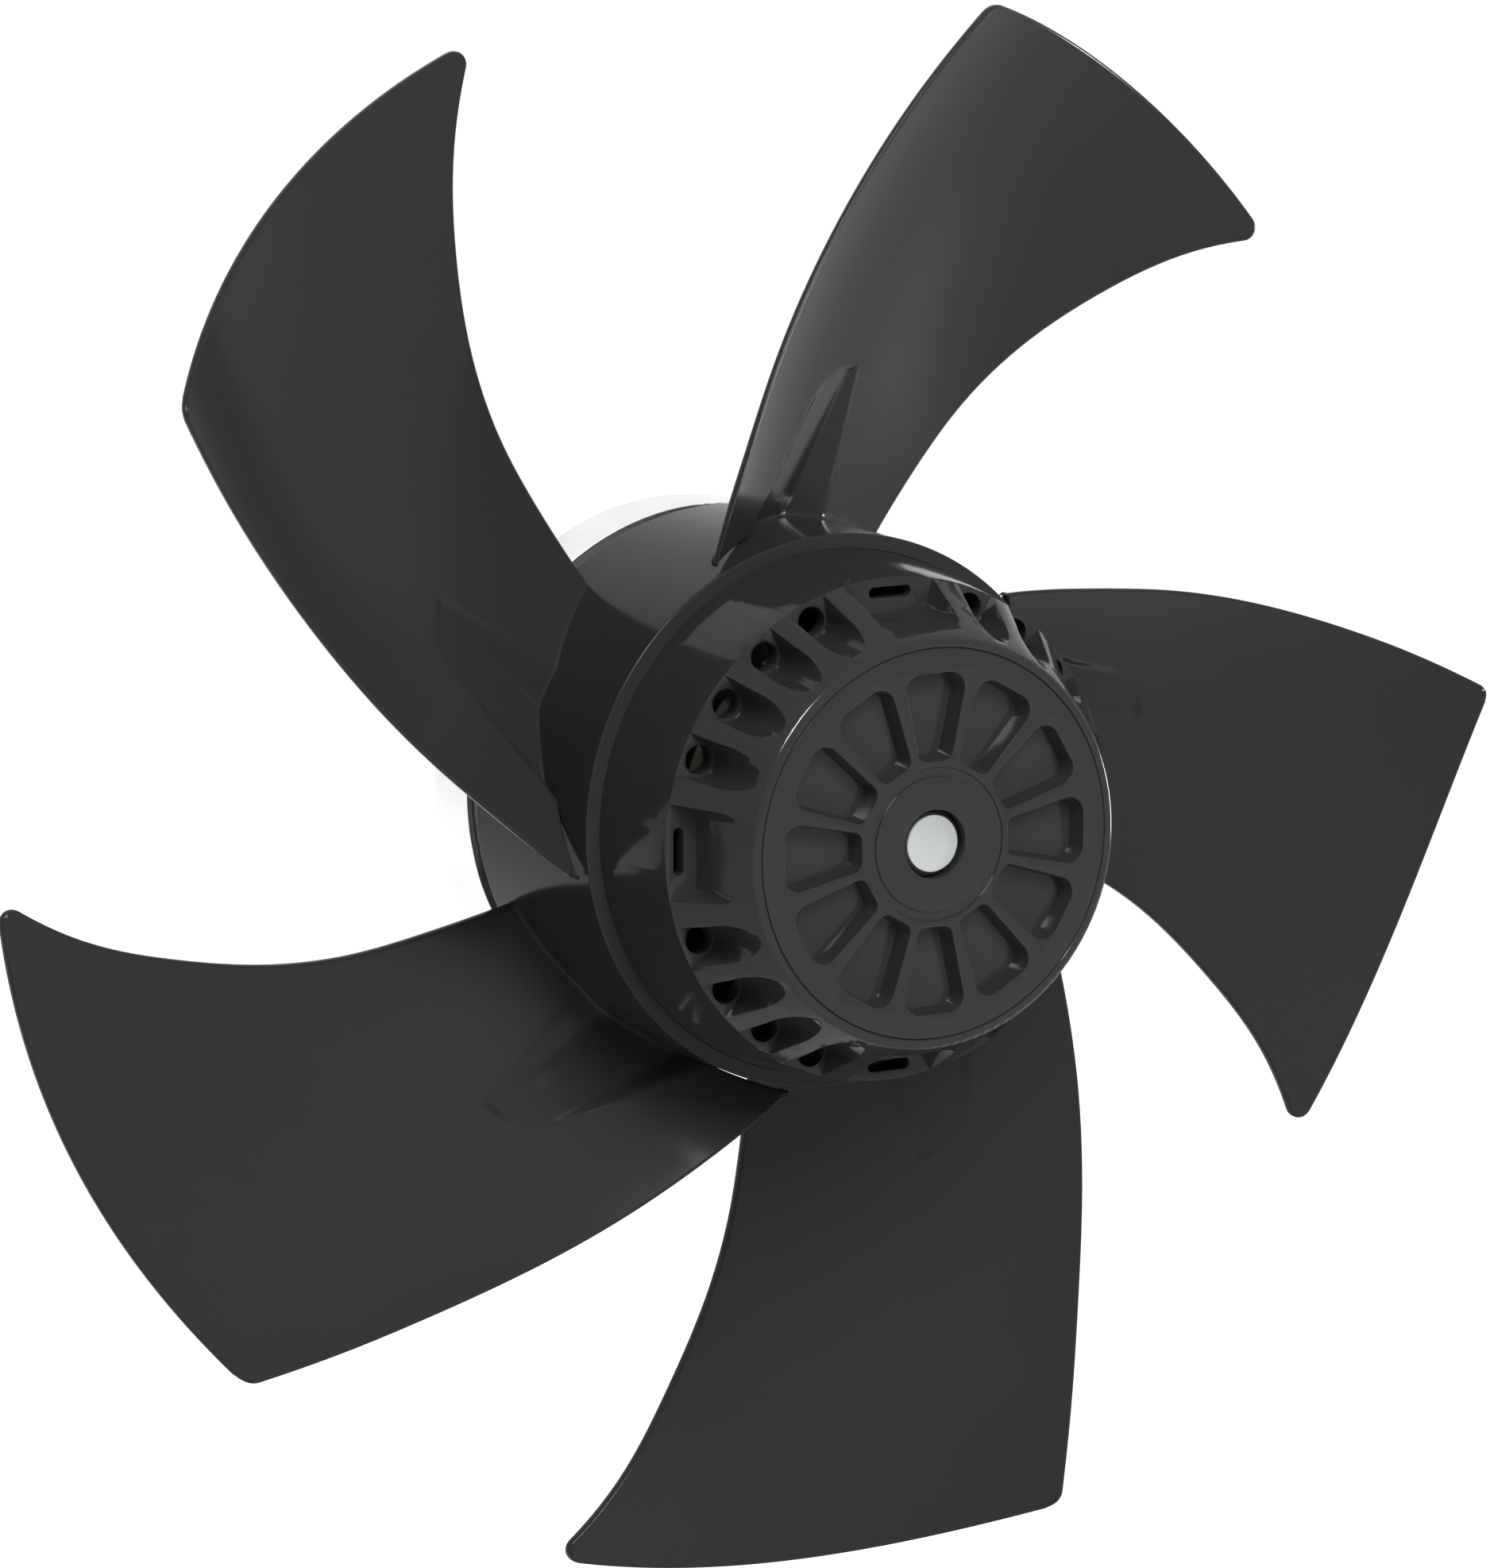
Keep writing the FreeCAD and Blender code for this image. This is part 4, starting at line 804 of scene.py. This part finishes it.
# Windings
# Coils of enamelled copper wire laid through the slots and soaked in varnish, with their heads
# pressed into two rings. A cutout is tied to the rear head and feels its heat.
def wound_wire():
    """Group: strands of wire that run round the Y axis, each of its own tone, with painted shade
    darkening each strand towards its edges.
    """
    group, given, result = new_skin("wound_wire", "Strand", "Depth")
    axes = own_axes(group, given)
    sway = maths(group, "MULTIPLY", noise(group, given.outputs["Place"], 40, 1), 0.004)
    turn = maths(group, "ARCTAN2", axes["X"], axes["Z"])
    unrolled = {"X": maths(group, "ADD", axis_distance(group, axes), sway), "Y": axes["Y"],
                "Z": maths(group, "MULTIPLY", turn, 0.001)}
    place = group.nodes.new("ShaderNodeCombineXYZ")
    for axis, value in unrolled.items():
        strand = maths(group, "DIVIDE", value, given.outputs["Strand"])
        group.links.new(strand, place.inputs[axis])
    strands = group.nodes.new("ShaderNodeTexVoronoi")
    strands.inputs["Scale"].default_value = 1
    group.links.new(place.outputs["Vector"], strands.inputs["Vector"])
    tone = group.nodes.new("ShaderNodeSeparateColor")
    group.links.new(strands.outputs["Color"], tone.inputs["Color"])
    own = maths(group, "ADD", maths(group, "MULTIPLY", tone.outputs["Red"], 0.4), 0.7)
    # Painted shade: each strand's colour darkens towards its edges, as the crevices between the
    # wires would be in shade
    painted_shade_between_strands = maths(group, "MULTIPLY", strands.outputs["Distance"], 0.9)
    tinted(group, given, result, maths(group, "SUBTRACT", own, painted_shade_between_strands), 0.5, 1.2)
    height = maths(group, "SUBTRACT", 1, strands.outputs["Distance"])
    relief(group, result, height, given.outputs["Depth"], 0.0003)
    return group


winding_copper = surface("winding_copper", wound_wire(), metallic=1, Colour=(0.55, 0.22, 0.08),
                         Roughness=0.3, Strand=0.0007, Depth=0.8)
finish(["stator_windings"], winding_copper)
gland_plastic = surface("gland_plastic", grain, Colour=(0.05, 0.05, 0.05),
                        Roughness=0.35, Scale=2000, Depth=0.08)
finish(["thermal_cutout"], gland_plastic)


# Stator flange
# Die-cast aluminium, left bare: a plate with ribs and four bolt bosses behind, the gland's boss
# at its side and the tube that carries bearings and stator in front.
def cast_skin():
    """Group: bare die-cast metal, with flow streaks, grey patches and fine pits."""
    group, given, result = new_skin("cast_skin", "Depth")
    stretch = group.nodes.new("ShaderNodeMapping")
    stretch.inputs["Scale"].default_value = (1, 1, 3.5)
    group.links.new(given.outputs["Place"], stretch.inputs["Vector"])
    streaks = noise(group, stretch.outputs["Vector"], 22, 5)
    patches = noise(group, given.outputs["Place"], 60, 4)
    pits = noise(group, given.outputs["Place"], 1400, 2)
    share = maths(group, "MULTIPLY", maths(group, "ADD", streaks, patches), 0.5)
    tinted(group, given, result, share, 0.84, 1.14)
    height = maths(group, "ADD", maths(group, "MULTIPLY", pits, 0.5), patches)
    relief(group, result, height, given.outputs["Depth"], 0.0003)
    return group


bare_aluminium = surface("bare_aluminium", cast_skin(), metallic=1, Colour=(0.82, 0.83, 0.84),
                         Roughness=0.32, Depth=0.1)
finished_copy("flange_casting", "stator_flange", "stator", bare_aluminium, 0.4)


# Rear cover
# A cast aluminium lid over the rear bearing and the wiring space, held on the flange by
# zinc-plated screws; one more screw takes the earth wire.
finished_copy("bearing_cover", "rear_cover", "stator", bare_aluminium, 0.3)
zinc_plated = surface("zinc_plated", grain, metallic=1, Colour=(0.55, 0.56, 0.58),
                      Roughness=0.28, Scale=2600, Depth=0.06)
finished_copy("cover_screws", "rear_cover_screws", "stator", zinc_plated, 0.12)
finished_copy("earth_terminal", "earth_screw", "stator", zinc_plated, 0.12)


# Cable gland
# A moulded plastic body screwed into the flange's side, a rubber sleeve that fits round a
# cable, and a nut that squeezes the sleeve.
finished_copy("gland_body_moulded", "gland_body", "stator", gland_plastic, 0.3)
finished_copy("gland_nut_moulded", "gland_nut", "stator", gland_plastic, 0.3)
finish(["gland_seal"], seal_rubber)


# Studio
# A white room: an even white world, a pale floor below the fan, soft lamps in front and behind,
# and two cards that only show as highlights in the gloss.
# The lens's focal length and the picture's height in pixels, and a sensor of the usual size
FOCAL_PIXELS, IMAGE_HEIGHT = 10403.5, 1974
SENSOR = 36
WHITE = (1, 1, 1, 1)
# How much of its white the world gives to diffuse light, and how brightly the floor is seen
WORLD_FILL, FLOOR_GLOW = 0.15, 0.85
FLOOR_LEVEL = -0.5

camera_data = bpy.data.cameras.new("camera")
camera_data.sensor_width = SENSOR
camera_data.lens = FOCAL_PIXELS / IMAGE_HEIGHT * SENSOR
camera_data.clip_start, camera_data.clip_end = 0.1, 50
camera = bpy.data.objects.new("camera", camera_data)
bpy.context.scene.collection.objects.link(camera)
bpy.context.scene.camera = camera
camera.location = (-1.2269, -2.2315, 0.4612)
forward = Vector((0.48179, 0.85731, -0.18122)).normalized()
up = Vector((0.0892, 0.1579, 0.9834)).normalized()
right = forward.cross(up).normalized()
facing = Matrix((right, right.cross(forward), -forward)).transposed()
camera.rotation_mode = "QUATERNION"
camera.rotation_quaternion = facing.to_quaternion()


def seen_itself(tree):
    """1 for rays from the camera, gloss or glass, and 0 for those that gather diffuse light."""
    path = tree.nodes.new("ShaderNodeLightPath").outputs
    seen = maths(tree, "MAXIMUM", path["Is Camera Ray"], path["Is Glossy Ray"])
    return maths(tree, "MAXIMUM", seen, path["Is Transmission Ray"])


world = bpy.data.worlds.new("white_room")
bpy.context.scene.world = world
world.use_nodes = True
background = world.node_tree.nodes["Background"]
level = world.node_tree.nodes.new("ShaderNodeMapRange")
level.inputs["To Min"].default_value = WORLD_FILL
level.inputs["To Max"].default_value = 1.0
feed(world.node_tree, level.inputs["Value"], seen_itself(world.node_tree))
feed(world.node_tree, background.inputs["Strength"], level.outputs["Result"])
background.inputs["Color"].default_value = WHITE


def add_lamp(name, towards, distance, size, watts, in_gloss=True, on_diffuse=True):
    """A square lamp that faces the fan from the given side."""
    data = bpy.data.lights.new(name, "AREA")
    data.size = size
    data.energy = watts
    lamp = bpy.data.objects.new(name, data)
    bpy.context.scene.collection.objects.link(lamp)
    lamp.visible_diffuse = on_diffuse
    lamp.visible_glossy = in_gloss
    lamp.location = Vector(towards).normalized() * distance
    lamp.rotation_mode = "QUATERNION"
    lamp.rotation_quaternion = (-lamp.location).to_track_quat("-Z", "Y")


add_lamp("front_softbox", (-0.05, -1, 0.75), distance=3.2, size=1.6, watts=62, in_gloss=False)
add_lamp("back_softbox", (0.1, 1, 0.1), distance=3.2, size=1.6, watts=25, in_gloss=False)
add_lamp("left_card", (-0.55, -0.45, 0.70), distance=2.0, size=0.7, watts=122, on_diffuse=False)
add_lamp("right_card", (0.95, -0.30, -0.1), distance=2.0, size=0.4, watts=40, on_diffuse=False)

floor_mesh = bpy.data.meshes.new("floor")
floor_corners = [(x, y, FLOOR_LEVEL) for x, y in ((-30, -30), (30, -30), (30, 60), (-30, 60))]
floor_mesh.from_pydata(floor_corners, [], [(0, 1, 2, 3)])
floor = bpy.data.objects.new("floor", floor_mesh)
bpy.context.scene.collection.objects.link(floor)
floor_paint = bpy.data.materials.new("floor_paint")
floor_paint.use_nodes = True
shader = floor_paint.node_tree.nodes["Principled BSDF"]
shader.inputs["Base Color"].default_value = (0.8, 0.8, 0.8, 1)
shader.inputs["Roughness"].default_value = 0.9
shader.inputs["Emission Color"].default_value = WHITE
glow = maths(floor_paint.node_tree, "MULTIPLY", seen_itself(floor_paint.node_tree), FLOOR_GLOW)
feed(floor_paint.node_tree, shader.inputs["Emission Strength"], glow)
floor_mesh.materials.append(floor_paint)
bpy.context.scene.view_settings.view_transform = "Standard"
